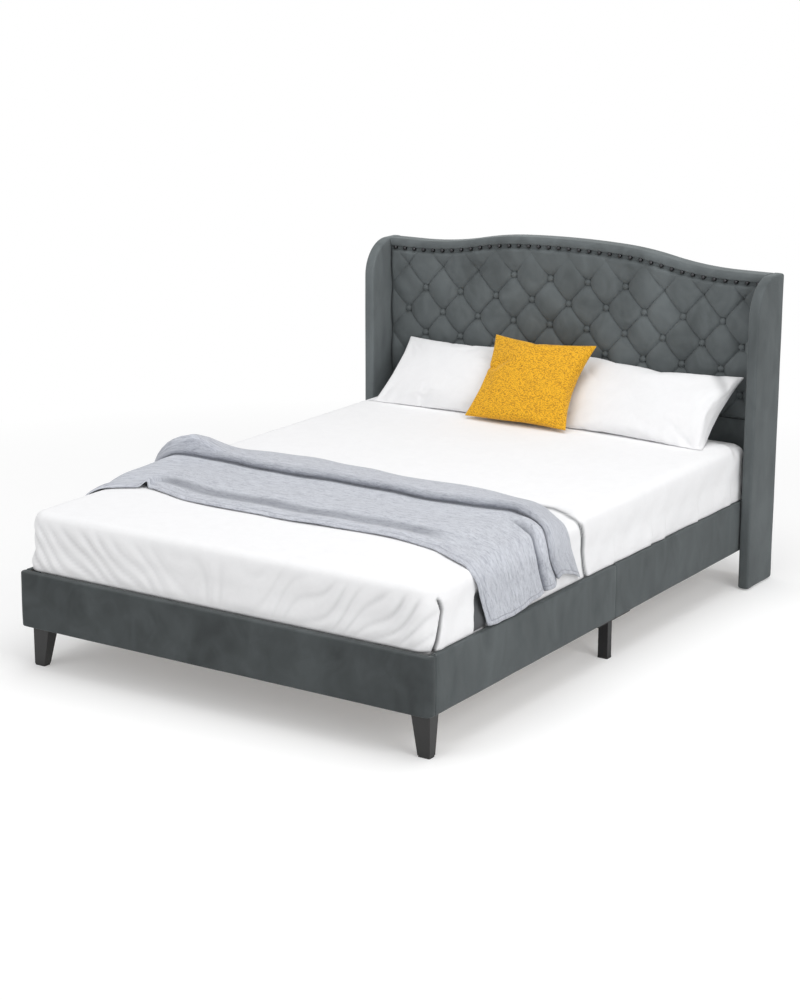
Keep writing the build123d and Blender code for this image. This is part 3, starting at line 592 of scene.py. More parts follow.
def colour_setting(name, description, default):
    """A colour that a user may change."""
    return bpy.props.FloatVectorProperty(
        name=name, description=description, subtype="COLOR", size=3, min=0, max=1, default=default
    )


def length_setting(name, description, default):
    """A length in metres that a user may change."""
    return bpy.props.FloatProperty(
        name=name, description=description, unit="LENGTH", min=0, precision=4, default=default
    )


def angle_setting(name, description, degrees):
    """An angle that a user may change."""
    return bpy.props.FloatProperty(
        name=name, description=description, subtype="ANGLE", default=math.radians(degrees)
    )


class BedColours(bpy.types.PropertyGroup):
    """Colours of the bed's fabrics, timber and metal."""

    velvet: colour_setting("Velvet", "Grey pile of the upholstery", (0.102, 0.1145, 0.118))
    cotton: colour_setting("Cotton", "White of the sheet and pillows", (0.87, 0.87, 0.88))
    ticking: colour_setting("Ticking", "Cover of the mattress", (0.78, 0.78, 0.76))
    # Painted light and shade of the cushion's tufts: lit on top, shaded between
    mustard: colour_setting("Mustard", "Lit tufts of the cushion", (0.80, 0.42, 0.012))
    mustard_shadow: colour_setting("Mustard shadow", "Between the tufts", (0.50, 0.225, 0.005))
    # Painted light and shade of the throw's crinkles: lit ridges and shaded valleys
    throw: colour_setting("Throw", "Pale ridges of the throw", (0.53, 0.55, 0.60))
    throw_shadow: colour_setting("Throw shadow", "Valleys of the throw", (0.37, 0.385, 0.44))
    lacquer: colour_setting("Lacquer", "Front legs", (0.012, 0.012, 0.012))
    steel: colour_setting("Steel", "Powder-coated legs, beam and brackets", (0.014, 0.014, 0.015))
    zinc: colour_setting("Zinc", "Bolt heads", (0.42, 0.42, 0.43))
    pewter: colour_setting("Pewter", "Nailheads", (0.050, 0.050, 0.053))
    plastic: colour_setting("Plastic", "Glides", (0.02, 0.02, 0.02))
    softwood: colour_setting("Softwood", "Boards and ledgers", (0.44, 0.30, 0.17))
    plywood: colour_setting("Plywood", "Slats", (0.62, 0.43, 0.24))
    backing: colour_setting("Backing", "Dust cloth and webbing", (0.02, 0.02, 0.022))
    floor: colour_setting("Floor", "Studio floor", (0.80, 0.80, 0.80))


class BedSizes(bpy.types.PropertyGroup):
    """Sizes of the upholstery and bedding that can change within the frame."""

    pleat_width: length_setting("Pleat width", "Half width of a tufting pleat", 0.0030)
    pleat_depth: length_setting("Pleat depth", "Depth of a pleat midway between buttons", 0.0080)
    dimple_radius: length_setting("Dimple radius", "Reach of the hollow round a button", 0.020)
    button_radius: length_setting("Button radius", "Radius of a covered button", 0.0112)
    button_height: length_setting("Button height", "Rise of a covered button", 0.0095)
    nail_radius: length_setting("Nail radius", "Radius of a nailhead", 0.0070)
    nail_height: length_setting("Nail height", "Rise of a nailhead", 0.0062)
    rail_edge: length_setting("Rail edge", "Rounding of the rails' rims", 0.0045)
    wing_edge: length_setting("Wing edge", "Rounding of the wings' rims", 0.0065)
    padding: length_setting("Padding", "Crown of the padded faces", 0.0012)
    wing_padding: length_setting("Wing padding", "How far the wings' cloth stands out", 0.0035)
    cover_rise: length_setting("Cover rise", "Rise of the upper cover over the sheet", 0.0140)
    sheet_wrinkle: length_setting("Sheet wrinkle", "Height of the folds on the foot end", 0.0078)
    pillow_width: length_setting("Pillow width", "Width of a filled pillow", 0.640)
    pillow_length: length_setting("Pillow length", "Height of a filled pillow", 0.318)
    pillow_thickness: length_setting("Pillow thickness", "Thickness of a filled pillow", 0.116)
    cushion_width: length_setting("Cushion width", "Width of the accent cushion", 0.398)
    cushion_length: length_setting("Cushion length", "Height of the accent cushion", 0.327)
    cushion_thickness: length_setting("Cushion thickness", "Thickness of the accent cushion", 0.086)
    cushion_lean: angle_setting("Cushion lean", "Lean of the cushion from level", 51)
    pillow_lean: angle_setting("Pillow lean", "Lean of the pillows from level", 48)


class PieceMaker:
    """What the bed's operators share."""

    bl_options = {"REGISTER", "UNDO"}

    def execute(self, context):
        """Make the piece from the scene's settings."""
        self.make(context.scene.bed_colours, context.scene.bed_sizes)
        return {"FINISHED"}


def finish_of(name, build):
    """The material of a name, built on first use."""
    found = bpy.data.materials.get(name)
    return found if found is not None else build()


# Painted light and shade: how much lighter or darker each part's velvet is made for how the light falls on it,
# as where the pile lies another way; the foot rail is painted darkest and the nail strip's groove darker as
# shade in its recess
PAINTED_PART_LIGHT = {
    "panel": 1.04, "wing_left": 1.32, "wing_right": 0.96, "side_rail": 0.85, "foot_rail": 0.59, "groove": 0.92
}
# Parts whose nap shows tall patches, and how bright the cotton of the sheet and of the pillows is; the
# pillows' cotton is painted a little darker, as shade
PATCHED = ("wing_left", "wing_right", "side_rail")
PAINTED_COTTON_TONES = {"sheet": 1.0, "pillow": 0.945}


def velvet_of(colours, part):
    """The bed's grey velvet, painted lighter or darker for a part of the bed by how the light falls there,
    with that part's nap.
    """
    name = f"velvet_{part}"
    upright, nap = (0.5, 0.22) if part in PATCHED else (0.85, 0.27)
    return finish_of(name, lambda: velvet(name, shade(colours.velvet, PAINTED_PART_LIGHT[part]), nap, upright))


def cotton_of(colours, part="sheet"):
    """White cotton of the sheet or of the pillows, which are painted a little less bright, as shade."""
    name = f"white_{part}_cotton"
    return finish_of(name, lambda: cotton(name, shade(colours.cotton, PAINTED_COTTON_TONES[part])))


class BED_OT_frame_finishes(PieceMaker, bpy.types.Operator):
    """Give every timber, steel and plastic piece of the frame its finish"""

    bl_idname = "bed.frame_finishes"
    bl_label = "Frame finishes"

    def make(self, colours, sizes):
        across, along, upright = (
            timber(f"softwood_{axis}", colours.softwood, axis) for axis in ("x", "y", "z")
        )
        finishes = {
            "black_lacquer": coated("leg_lacquer", colours.lacquer, 0.0, 0.38, 240.0),
            "black_steel": coated("powder_coat", colours.steel, 0.3, 0.5, 900.0),
            "bolt_steel": coated("zinc_plate", colours.zinc, 1.0, 0.35),
            "nail_pewter": coated("pewter", colours.pewter, 1.0, 0.28),
            "glide_plastic": coated("glide_plastic", colours.plastic, 0.0, 0.6),
            "slat_plywood": timber("slat_plywood", colours.plywood, "x", 0.55),
            "backing_cloth": cloth_backing("dust_cloth", colours.backing),
            "mattress_ticking": ticking("mattress_ticking", colours.ticking),
            "white_cotton": cotton_of(colours),
            VELVET: velvet_of(colours, "panel"),
        }
        grain = {
            "side_rail_board": along, "slat_ledger": along, "headboard_stile": upright, "wing_core": upright
        }
        for row in frame["record"]["subparts"]:
            node, slot = row["node"], row["material_slot"]
            finish = finishes.get(slot, across)
            if slot == "buff_timber":
                finish = next((wood for start, wood in grain.items() if node.startswith(start)), across)
            for place in frame["nodes"][node].material_slots:
                place.material = finish
        # The nail strip gets the groove's copy of the velvet, painted darker as shade in its recess behind the
        # roll
        strip = frame["nodes"]["nail_strip"]
        strip.material_slots[0].material = velvet_of(colours, "groove")


class BED_OT_tufted_panel(PieceMaker, bpy.types.Operator):
    """Diamond-tufted panel: crowned pads between pleats, hollowed round every button"""

    bl_idname = "bed.tufted_panel"
    bl_label = "Tufted panel"
    columns = 541
    rows = 179
    # The padding stands up over the foot of the nail strip, and flattens out from a height
    overlap = 0.0048
    flat_from = 0.9395
    hollow_depth = 0.011
    rim_radius = 0.016

    def make(self, colours, sizes):
        half = PANEL_HALF - 0.0005
        x = np.linspace(-half, half, self.columns)[None]
        top = strip_low.z + self.overlap + camel_drop(PANEL_HALF) - camel_drop(x)
        share = np.linspace(0, 1, self.rows)[:, None]
        z = SEAM_Z + 0.0005 + share * (top - SEAM_Z - 0.0008)
        y = CROWN_Y + self.sink(x, z, top, sizes)
        points, faces = closed_front(stacked(x, y, z), BOARD_Y - 0.0005)
        piece = make_piece("tufted_upholstery", points, faces)
        upholster(piece, colours, "panel", "tufted_panel")

    def sink(self, x, z, top, sizes):
        """How far the cloth lies behind the crown plane.

        With a and b the place in half diamonds and rows, p = (a + b) / 2 and q = (a - b) / 2 are whole on
        the pleats. A pad's crown is (|sin(pi p) sin(pi q)|)^0.55. A pleat falls by exp(-d / width), deeper
        near a button, and a button's hollow falls by exp(-(r / radius)^1.6).
        """
        depth = panel_high.y - 0.009 - CROWN_Y
        a, b = x / HALF_DIAMOND, (z - SEAM_Z) / ROW_PITCH
        p, q = (a + b) / 2, (a - b) / 2
        crown = np.abs(np.sin(math.pi * p) * np.sin(math.pi * q)) ** 0.55
        sink = depth * 0.45 * (1 - crown) * (1 - 0.6 * smooth(0.0, 0.05, z - self.flat_from))
        reach = math.hypot(HALF_DIAMOND, ROW_PITCH)
        corner_x = (np.round(p) + np.round(q)) * HALF_DIAMOND
        corner_z = SEAM_Z + (np.round(p) - np.round(q)) * ROW_PITCH
        row = np.round((corner_z - SEAM_Z) / ROW_PITCH).astype(int)
        outermost = dict(BUTTON_ROWS)
        each_side = np.vectorize(lambda r: outermost.get(int(r), -1))(row)
        column = np.round(np.abs(corner_x) / HALF_DIAMOND)
        held = (each_side > 0) & (column < 2 * each_side + (row + 1) % 2)
        away = np.hypot(x - corner_x, z - corner_z)
        top_row = SEAM_Z + max(outermost) * ROW_PITCH
        kept = 1 - 0.85 * smooth(0.012, 0.060, z - top_row)
        kept = kept * (1 - 0.8 * smooth(0.004, 0.024, np.abs(x) - 9 * HALF_DIAMOND))
        for place in (p, q):
            gap = np.abs(place - np.round(place)) * 2 * HALF_DIAMOND * ROW_PITCH / reach
            near = 0.50 + 0.50 * np.exp(-away / 0.03)
            sink = sink + kept * sizes.pleat_depth * near * np.exp(-gap / sizes.pleat_width)
        hollow = np.where(held, 1.0, 0.2) * np.exp(-((away / sizes.dimple_radius) ** 1.6))
        sink = sink + self.hollow_depth * hollow + 0.0008 * ripple(x, z, 0.16, 5)
        edge = np.minimum(np.minimum(z - SEAM_Z, top - z), PANEL_HALF - np.abs(x))
        roll = np.clip(edge / self.rim_radius, 0, 1)
        shoulder = 1 - np.sqrt(1 - (1 - roll) ** 2)
        limit = depth + 0.004
        return np.minimum(sink * (1 - shoulder) + limit * shoulder, limit)


def button_places():
    """Middles of the buttons, where row and column are both odd or both even."""
    columns = range(-2 * BUTTON_ROWS[0][1], 2 * BUTTON_ROWS[0][1] + 1)
    return [
        (column * HALF_DIAMOND, SEAM_Z + row * ROW_PITCH)
        for row, each_side in BUTTON_ROWS
        for column in columns
        if (row + column) % 2 == 0 and abs(column) < 2 * each_side + (row + 1) % 2
    ]


class BED_OT_buttons(PieceMaker, bpy.types.Operator):
    """Velvet-covered buttons in the hollows of the tufting"""

    bl_idname = "bed.buttons"
    bl_label = "Covered buttons"

    def make(self, colours, sizes):
        seat_y = BOARD_Y - 0.0125
        places = [(x, seat_y, z) for x, z in button_places()]
        radius, height = sizes.button_radius, sizes.button_height
        piece = domes("covered_buttons", places, radius, height, 0.004, sides=22, rings=8)
        upholster(piece, colours, "panel", "tuft_buttons")


class BED_OT_nailheads(PieceMaker, bpy.types.Operator):
    """Row of domed nailheads along the camel-back strip"""

    bl_idname = "bed.nailheads"
    bl_label = "Nailheads"

    def make(self, colours, sizes):
        x = np.linspace(0, PANEL_HALF, 800)
        drop = camel_drop(x)
        run = run_along(x, drop)
        peak = strip_high.z - STRIP_HEIGHT / 2
        side = NAIL_COUNT // 2
        right = np.interp(np.arange(side + 1) * (run[-1] - NAIL_MARGIN) / side, run, x)
        spots = np.concatenate([-right[:0:-1], right])
        seat_y = strip_low.y - 0.0050
        places = [(spot, seat_y, peak - float(camel_drop(spot))) for spot in spots]
        piece = domes("nailhead_row", places, sizes.nail_radius, sizes.nail_height, 0.006)
        dress(piece, bpy.data.materials["pewter"], "nail_pewter", BED, "nailheads")


class BED_OT_top_roll(PieceMaker, bpy.types.Operator):
    """Padded roll over the headboard's camel-back top"""

    bl_idname = "bed.top_roll"
    bl_label = "Top roll"
    # The roll hangs down over the top of the nail strip
    overhang = 0.0052
    # Its closed ends stay this far below the wings' cloth
    set_back = 0.0050

    def make(self, colours, sizes):
        front, back = border_low.y, border_high.y
        foot = strip_high.z - border_high.z - self.overhang
        roof = -0.008
        corners = [(front, foot), (BOARD_Y, foot), (BOARD_Y, roof), (back, roof), (back, 0), (front, 0)]
        profile = rounded_outline(
            corners, (0.006, 0.001, 0.001, 0.001, 0.005, 0.016), (0.01, 0.01, 0.02, 0.01, 0.008, 0.006),
            arc_step=0.0025,
        )
        cap = PANEL_HALF + np.array([-0.0003, 0.0001, 0.0022])
        x = np.concatenate([-cap[::-1], np.linspace(-cap[0], cap[0], 181)[1:-1], cap])[:, None]
        swell = 0.0008 * ripple(x, profile[None, :, 1], 0.25, 11)
        y = profile[None, :, 0] + swell * (profile[None, :, 0] < BOARD_Y - 0.001)
        wing_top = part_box("wing_cover_right")[1].z + WING_CROWN - self.set_back
        ledge = wing_top - border_high.z + float(camel_drop(PANEL_HALF))
        closed = np.where(profile[:, 0] > BOARD_Y - 0.001, profile[:, 1] * ledge / roof, profile[:, 1])
        closed = np.maximum(closed, ledge)
        level = np.where(np.abs(x) > PANEL_HALF, closed[None], profile[None, :, 1])
        z = border_high.z - camel_drop(x) + level
        points = stacked(x, y, z)
        piece = make_piece("padded_top_roll", points, tube_faces(*points.shape[:2]))
        upholster(piece, colours, "panel", "headboard_border")


def spine_of(outline, inset):
    """For each point of an outline, its nearest point on the line along the middle of its longer side."""
    low, high = outline.min(0), outline.max(0)
    middle = (low + high) / 2
    long = int(np.argmax(high - low))
    spine = np.repeat(middle[None], len(outline), 0)
    spine[:, long] = np.clip(outline[:, long], low[long] + inset, high[long] - inset)
    return spine


class BED_OT_lower_panel(PieceMaker, bpy.types.Operator):
    """Plain padded panel below the tufting"""

    bl_idname = "bed.lower_panel"
    bl_label = "Lower panel"

    def make(self, colours, sizes):
        low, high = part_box("lower_panel")
        outline = box_outline(low.x, low.z, high.x, high.z, (0.004,) * 4, (0.012,) * 4)
        piece = soft_block(
            "lower_panel_padding", outline, -high.y, -low.y - 0.001, lambda a, b, c: stacked(a, -c, b),
            edge=sizes.rail_edge, crown=0.0004, spine=spine_of(outline, 0.2), seed=21,
        )
        upholster(piece, colours, "panel", "lower_panel")


# The wings' padding stands this far over their covers' solid top, level with the roll's ends
WING_CROWN = 0.009


class BED_OT_wings(PieceMaker, bpy.types.Operator):
    """Padded wings with a rounded top front corner"""

    bl_idname = "bed.wings"
    bl_label = "Wings"
    arc_radius = 0.122

    def make(self, colours, sizes):
        for side, sign in (("left", -1), ("right", 1)):
            low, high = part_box(f"wing_cover_{side}")
            inside, proud = sizes.padding, sizes.wing_padding
            front, back = low.y + inside, high.y + proud
            first, last = low.x + inside - proud * (sign < 0), high.x - inside + proud * (sign > 0)
            foot, top = low.z + inside / 2, high.z - inside + WING_CROWN
            radii = (0.009, 0.008, 0.008, self.arc_radius)
            outline = box_outline(front, foot, back, top, radii, (0.010, 0.012, 0.010, 0.012), arc_step=0.006)
            piece = soft_block(
                f"wing_padding_{side}", outline, first, last,
                lambda a, b, c: stacked(c, a, b), edge=sizes.wing_edge, crown=sizes.padding,
                spine=spine_of(outline, 0.09), seed=31 + sign, wave=0.0009,
            )
            upholster(piece, colours, f"wing_{side}", f"wing_cover_{side}")


class BED_OT_rails(PieceMaker, bpy.types.Operator):
    """Padded covers of the foot rail and of the four side rail halves"""

    bl_idname = "bed.rails"
    bl_label = "Rails"
    foot_corner = 0.020

    def make(self, colours, sizes):
        names = [f"side_rail_cover_{half}_{side}" for half in ("front", "rear") for side in ("left", "right")]
        for seed, node in enumerate(["foot_rail_cover", *names]):
            low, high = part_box(node)
            foot = node.startswith("foot")
            swell = sizes.padding * 0.7
            # The side rails' halves meet end to end, so only the foot rail's ends draw in
            ends = swell if foot else swell * 0.2
            radii = (self.foot_corner, self.foot_corner, 0.004, 0.004) if foot else (0.003,) * 4
            outline = box_outline(
                low.x + swell, low.y + ends, high.x - swell, high.y - ends, radii, (0.012,) * 4, arc_step=0.002
            )
            piece = soft_block(
                node.replace("cover", "padding"), outline, low.z, high.z, stacked,
                edge=sizes.rail_edge, crown=swell, spine=spine_of(outline, 0.012), seed=41 + seed, wave=0.0007,
            )
            upholster(piece, colours, "foot_rail" if foot else "side_rail", node)


# Mattress and bedding


# The solid mattress's sides stand out this far past its plan
MATTRESS_CROWN = 0.012


def mattress_outline(reach, spacings, radii=(0.055,) * 4):
    """Outline of the mattress in plan, standing out by reach, from the foot's left corner round."""
    reach -= MATTRESS_CROWN
    x, y0, y1 = mattress_high.x + reach, mattress_low.y - reach, mattress_high.y + reach
    return box_outline(-x, y0, x, y1, radii, spacings, arc_step=0.0022)


class BED_OT_mattress(PieceMaker, bpy.types.Operator):
    """Mattress in its quilted ticking, inside the sheet"""

    bl_idname = "bed.mattress"
    bl_label = "Mattress"

    def make(self, colours, sizes):
        outline = mattress_outline(-0.009, (0.02,) * 4, (0.085,) * 4)
        piece = soft_block(
            "quilted_mattress", outline, MATTRESS_BASE + 0.0002, mattress_high.z - 0.010, stacked,
            edge=0.012, crown=0.0, spine=spine_of(outline, 0.6), seed=61, wave=0.0003,
        )
        dress(piece, bpy.data.materials["mattress_ticking"], "mattress_ticking", "mattress", "mattress")


# The sheet's wall from the hem up: height above the mattress's foot, and how far it stands out
WALL_HEIGHTS = (0.010, 0.022, 0.034, 0.060, 0.100, 0.145, 0.170, 0.187, 0.1985, 0.2018)
WALL_REACHES = (0.0015, 0.0018, 0.0025, 0.0060, 0.0110, 0.0138, 0.0130, 0.0085, -0.0040, -0.0280)


def sheet_wall(share):
    """Reach and height of the sheet's wall at a share of its rise, from the hem to the flat top."""
    knots = run_along(WALL_HEIGHTS, WALL_REACHES)
    at = np.asarray(share) * knots[-1]
    return through(knots, WALL_REACHES, at), MATTRESS_BASE + through(knots, WALL_HEIGHTS, at)


class BED_OT_fitted_sheet(PieceMaker, bpy.types.Operator):
    """White sheet pulled over the mattress, with folds at the foot and a tucked corner"""

    bl_idname = "bed.fitted_sheet"
    bl_label = "Fitted sheet"
    wall_rows = 29
    spacing = 0.0062
    # The upper cover reaches from behind the throw to just short of the headboard. Its edge crosses the
    # top from inside the right edge: places x, and there the edge in y
    cover_x = (0.0, 0.40, 0.46, 0.57, 0.62, 0.657, 0.68, 0.75)
    cover_y = (-0.16, -0.125, -0.121, -0.127, -0.153, -0.183, -0.195, -0.199)
    cover_side_y = -0.181
    cover_head_y = 0.868
    cover_lift = 0.0045
    # Distance between the foot's folds, and the throw's foot edge at the right, where the cloth draws in and a
    # shadow is painted beside it
    fold_spacing = 0.058
    throw_edge_y = -0.768
    # How far the cloth stands out in waves of the foot and sides, and over the rails' tops
    foot_wave = 0.0034
    side_wave = 0.0038
    foot_puffs = (0.0165, 0.0030)
    side_puff = 0.0115
    notch_puff = 0.0060
    # How far it draws in at the upper cover's edge, in the tuck and beside the throw
    hem_dip = 0.0060
    tuck_dip = 0.020
    draw_in = 0.008
    # The tuck at the right foot corner heads this way and bows round it: shares of the rise, turns there
    tuck_heading = math.radians(-43)
    tuck_rises = (0.08, 0.42, 0.66, 0.78, 0.86)
    tuck_bows = (0.0, 0.38, 0.52, 0.38, 0.22)

    def make(self, colours, sizes):
        # The head end is behind the pillows, so it is divided more coarsely
        spacings = (self.spacing, self.spacing, 0.030, self.spacing)
        outline = mattress_outline(0.0, spacings, (0.036, 0.050, 0.055, 0.055))
        normal = outward_normals(outline)
        spine = spine_of(outline, 0.62)
        spine[:, 1] = np.round(spine[:, 1] / self.spacing) * self.spacing
        share = np.linspace(0, 1, self.wall_rows)
        at_rail = np.interp(RAIL_TOP + np.array([0.0003, 0.0032]), sheet_wall(share)[1], share)
        reach, height = sheet_wall(np.sort(np.append(share, at_rail)))
        x = outline[None, :, 0] + normal[None, :, 0] * reach[:, None]
        y = outline[None, :, 1] + normal[None, :, 1] * reach[:, None]
        z = np.repeat(height[:, None], len(outline), 1)
        push, painted_wall_shade = self.folds(x, y, z, normal, sizes)
        x, y = x + normal[None, :, 0] * push, y + normal[None, :, 1] * push
        inwards = np.concatenate([np.linspace(0.013, 0.19, 11), np.linspace(0.19, 1, 7)[1:]])[:, None]
        top_x = x[-1] + inwards * (spine[:, 0] - x[-1])
        top_y = y[-1] + inwards * (spine[:, 1] - y[-1])
        top_z = z[-1] + 0.0010 * ripple(top_x, top_y, 0.35, 71) * np.minimum(1, inwards * 4)
        x, y, z = (np.concatenate(pair) for pair in ((x, top_x), (y, top_y), (z, top_z)))
        rise, painted_edge_shade = self.cover(x, y, z, sizes)
        # The attribute crease carries the painted shade of the tuck, the folds, the cover's edges and beside
        # the throw
        crease = np.concatenate([painted_wall_shade, np.zeros_like(top_x)])
        crease = np.clip(np.maximum(crease, painted_edge_shade), 0, 1.3)
        faces = grid_faces(len(z), len(outline), wrap=True)
        piece = make_piece("sheet_cloth", stacked(x, y, z + rise), faces, weld=0.0004, crease=crease)
        thicken(piece, SHEET_THICKNESS, -1)
        dress(piece, cotton_of(colours), "white_cotton", "mattress", "fitted_sheet")

    def cover(self, x, y, z, sizes):
        """How far the upper cover raises the cloth, and the shade painted along its edges.

        The rise is a smooth step over its foot edge and another over its head edge, which curves back
        towards the sides, times a smooth step up the last 40 mm of the wall.
        """
        height = z - MATTRESS_BASE
        edge = y - np.interp(x, self.cover_x, self.cover_y)
        head = self.cover_head_y - 0.045 * (np.abs(x) / sheet_high.x) ** 10 - y
        upper = smooth(0.150, 0.196, height)
        rise = sizes.cover_rise * smooth(-0.010, 0.030, edge) * smooth(0.0, 0.018, head) * upper
        # Painted shade along the cover's foot edge, and faintly along its head edge
        line = np.exp(-((edge / 0.0060) ** 2)) * smooth(0.42, 0.52, x) * smooth(0.180, 0.192, height)
        return rise, 0.75 * line + 0.10 * np.exp(-((head / 0.012) ** 2)) * upper

    def folds(self, x, y, z, normal, sizes):
        """How far the wall is pushed out, and the shade painted in its creases: in the folds' valleys, in the
        tuck, along the cover's edge and beside the throw's foot edge.

        A fold is a cosine of the distance along the wall plus a slant times the height, with its phase
        warped by slow waves: slanted folds at the foot, soft ones at the sides. The right foot corner
        has a narrow tuck, the upper cover is a step, the cloth stands over the rails' tops, and it is
        drawn in beside the foot edge of the throw.
        """
        height = z - MATTRESS_BASE
        rise = np.clip(height / 0.2, 0, 1)
        foot, right, left = (
            np.clip(part[None], 0, 1) for part in (-normal[:, 1], normal[:, 0], -normal[:, 0])
        )
        body = smooth(0.10, 0.30, rise) * (1 - smooth(0.70, 0.93, rise))
        phase = math.tau * (x - np.tanh(x / 0.22) * height) / self.fold_spacing + 3.4 * ripple(x, z, 0.26, 73)
        crest = np.abs(np.cos(phase / 2)) ** 2.2 - 0.4
        strength = 0.25 + 0.75 * smooth(0.15, 0.55, np.abs(x)) * (0.65 + 0.35 * ripple(x, z, 0.30, 74))
        push = foot * body * sizes.sheet_wrinkle * strength * crest
        # Painted shade in the valleys between the foot's folds
        painted_valley_shade = 0.26 * foot * body * strength * np.clip(1 - np.abs(np.cos(phase / 2)) * 1.6, 0, 1)
        push = push + foot * self.foot_wave * body * ripple(x, z * 0.6, 0.13, 75)
        over = smooth(RAIL_TOP + 0.0003, RAIL_TOP + 0.0032, z)
        low, high = self.foot_puffs
        full = low * (1 - smooth(0.12, 0.55, rise)) + high * (1 - smooth(0.55, 0.9, rise))
        push = push + foot * over * full
        sway = ripple(y - 0.8 * z, 0.5 * z, 0.17, 76) + 0.6 * ripple(y, z, 0.33, 77)
        push = push + (right + left) * body * self.side_wave * sway
        puff = over * (1 - smooth(0.20, 0.60, rise))
        notches = (y * 5.2 + 0.3 * np.sin(y * 23)) % 1
        behind = smooth(-0.2, 0.1, y)
        push = push + (right + left) * puff * (self.side_puff + self.notch_puff * (notches - 0.5) * behind)
        fall = y - 2.2 * np.minimum(height - 0.12, 0) ** 2 + 0.35 * np.clip(height - 0.15, 0, 1)
        edge = fall - self.cover_side_y
        above = smooth(RAIL_TOP, RAIL_TOP + 0.003, z) * (1 - smooth(0.93, 1.0, rise))
        push = push + right * above * self.cover_lift * smooth(-0.002, 0.004, edge)
        hem = right * above * np.exp(-((edge / 0.0060) ** 2))
        heading = np.arctan2(normal[None, :, 1], normal[None, :, 0])
        bow = self.tuck_heading + np.interp(rise, self.tuck_rises, self.tuck_bows)
        within = smooth(0.10, 0.16, rise) * (1 - smooth(0.78, 0.86, rise))
        tuck = np.exp(-(((heading - bow) / 0.062) ** 2)) * within
        # Painted shadow beside the throw's foot edge, where the cloth is also drawn in
        beside = smooth(-0.003, 0.003, y - self.throw_edge_y + 0.11 * (0.152 - height))
        beside = beside * right * over * (1 - smooth(-0.722, -0.704, y)) * (1 - smooth(0.120, 0.155, height))
        # Painted shade of the tuck, the cover's edge on the wall, beside the throw and in the folds' valleys
        shade_of = 1.1 * tuck**0.7 + hem + 1.2 * beside + painted_valley_shade
        return push - self.hem_dip * hem - self.tuck_dip * tuck - self.draw_in * beside, shade_of


def sewn_bag(name, width, length, spacing, puff, pulls, seed):
    """Two layers of cloth joined round their edge, a little puffed, in the plane z = 0.

    With u and v from -1 to 1 across and along, a layer stands at +-puff (1 - u^4)(1 - v^4), and each
    side draws in between its corners by its pull times 1 - v^2 or 1 - u^2. pulls are the ends', the
    foot's and the head's.
    """
    across = round(width / spacing) + 1
    along = round(length / spacing) + 1
    u = np.linspace(-1, 1, across)[:, None]
    v = np.linspace(-1, 1, along)[None]
    ends, foot, head = pulls
    x = u * (width / 2 - ends * (1 - v**2))
    y = v * length / 2 + (1 - u**2) * (foot * (1 - v) - head * (1 + v)) / 2
    rise = puff * (1 - u**4) * (1 - v**4) * (1 + 0.25 * ripple(u, v, 0.7, seed))
    uv = stacked(u * width / 2 + 1, v * length / 2 + 1, 0)[..., :2]
    faces = np.concatenate(
        [grid_faces(across, along), grid_faces(across, along, first=across * along)[:, ::-1]]
    )
    points = np.concatenate([stacked(x, y, rise).reshape(-1, 3), stacked(x, y, -rise).reshape(-1, 3)])
    uv = np.concatenate([uv.reshape(-1, 2), uv.reshape(-1, 2) + (0, 3)])
    return make_piece(name, points, faces, uv, weld=0.00005)


# Stretch stiffness of the bags' cloth, what presses it out, and the most steps of simulation that fill one
CLOTH_STIFFNESS = 40
FILL_PRESSURE = 1.6
FILL_STEPS = 40


def inflate(piece, thickness):
    """Fill a sewn bag by cloth simulation without gravity, until it is as thick as asked, and keep it."""
    cloth = piece.modifiers.new("fill", "CLOTH")
    settings = cloth.settings
    settings.quality = 5
    settings.mass = 0.25
    settings.tension_stiffness = settings.compression_stiffness = CLOTH_STIFFNESS
    settings.shear_stiffness = CLOTH_STIFFNESS / 3
    settings.bending_stiffness = 0.15
    settings.use_pressure = True
    settings.uniform_pressure_force = FILL_PRESSURE
    settings.effector_weights.gravity = 0
    settings.air_damping = 2
    cloth.collision_settings.use_collision = False
    cloth.point_cache.frame_start = 1
    cloth.point_cache.frame_end = FILL_STEPS
    scene = bpy.context.scene
    for step in range(1, FILL_STEPS + 1):
        scene.frame_set(step)
        filled = piece.evaluated_get(bpy.context.evaluated_depsgraph_get())
        height = np.zeros(len(filled.data.vertices) * 3)
        filled.data.vertices.foreach_get("co", height)
        if np.ptp(height[2::3]) >= thickness:
            break
    mesh = bpy.data.meshes.new_from_object(filled)
    piece.modifiers.clear()
    piece.data = mesh
    scene.frame_set(1)


def read_points(piece):
    """Points of a piece's mesh as an array."""
    points = np.zeros(len(piece.data.vertices) * 3)
    piece.data.vertices.foreach_get("co", points)
    return points.reshape(-1, 3)


def write_points(piece, points):
    """Put an array of points back into a piece's mesh."""
    piece.data.vertices.foreach_set("co", np.ascontiguousarray(points, dtype=np.float64).ravel())
    piece.data.update()


def settle(piece, points):
    """Put a bag's points back, and smooth its cloth by one subdivision."""
    write_points(piece, points)
    smoother = piece.modifiers.new("smooth_cloth", "SUBSURF")
    smoother.levels = smoother.render_levels = 1


def soft_floor(height, level, give=0.004):
    """Heights pressed up onto a level with a soft knee: level + give * ln(1 + exp(h / give))."""
    over = (height - level) / give
    return level + give * (np.maximum(over, 0) + np.log1p(np.exp(-np.abs(over))))


def fit_to(points, size):
    """Points scaled by axis to a size and centred."""
    low, high = points.min(0), points.max(0)
    return (points - (low + high) / 2) * (np.array(size) / (high - low))


def lean_back(points, lean, centre):
    """Points turned up from level by the lean about the X axis and set at a centre."""
    c, s = math.cos(lean), math.sin(lean)
    x, y, z = points.T
    return np.stack([x, y * c - z * s, y * s + z * c], -1) + np.array(centre)


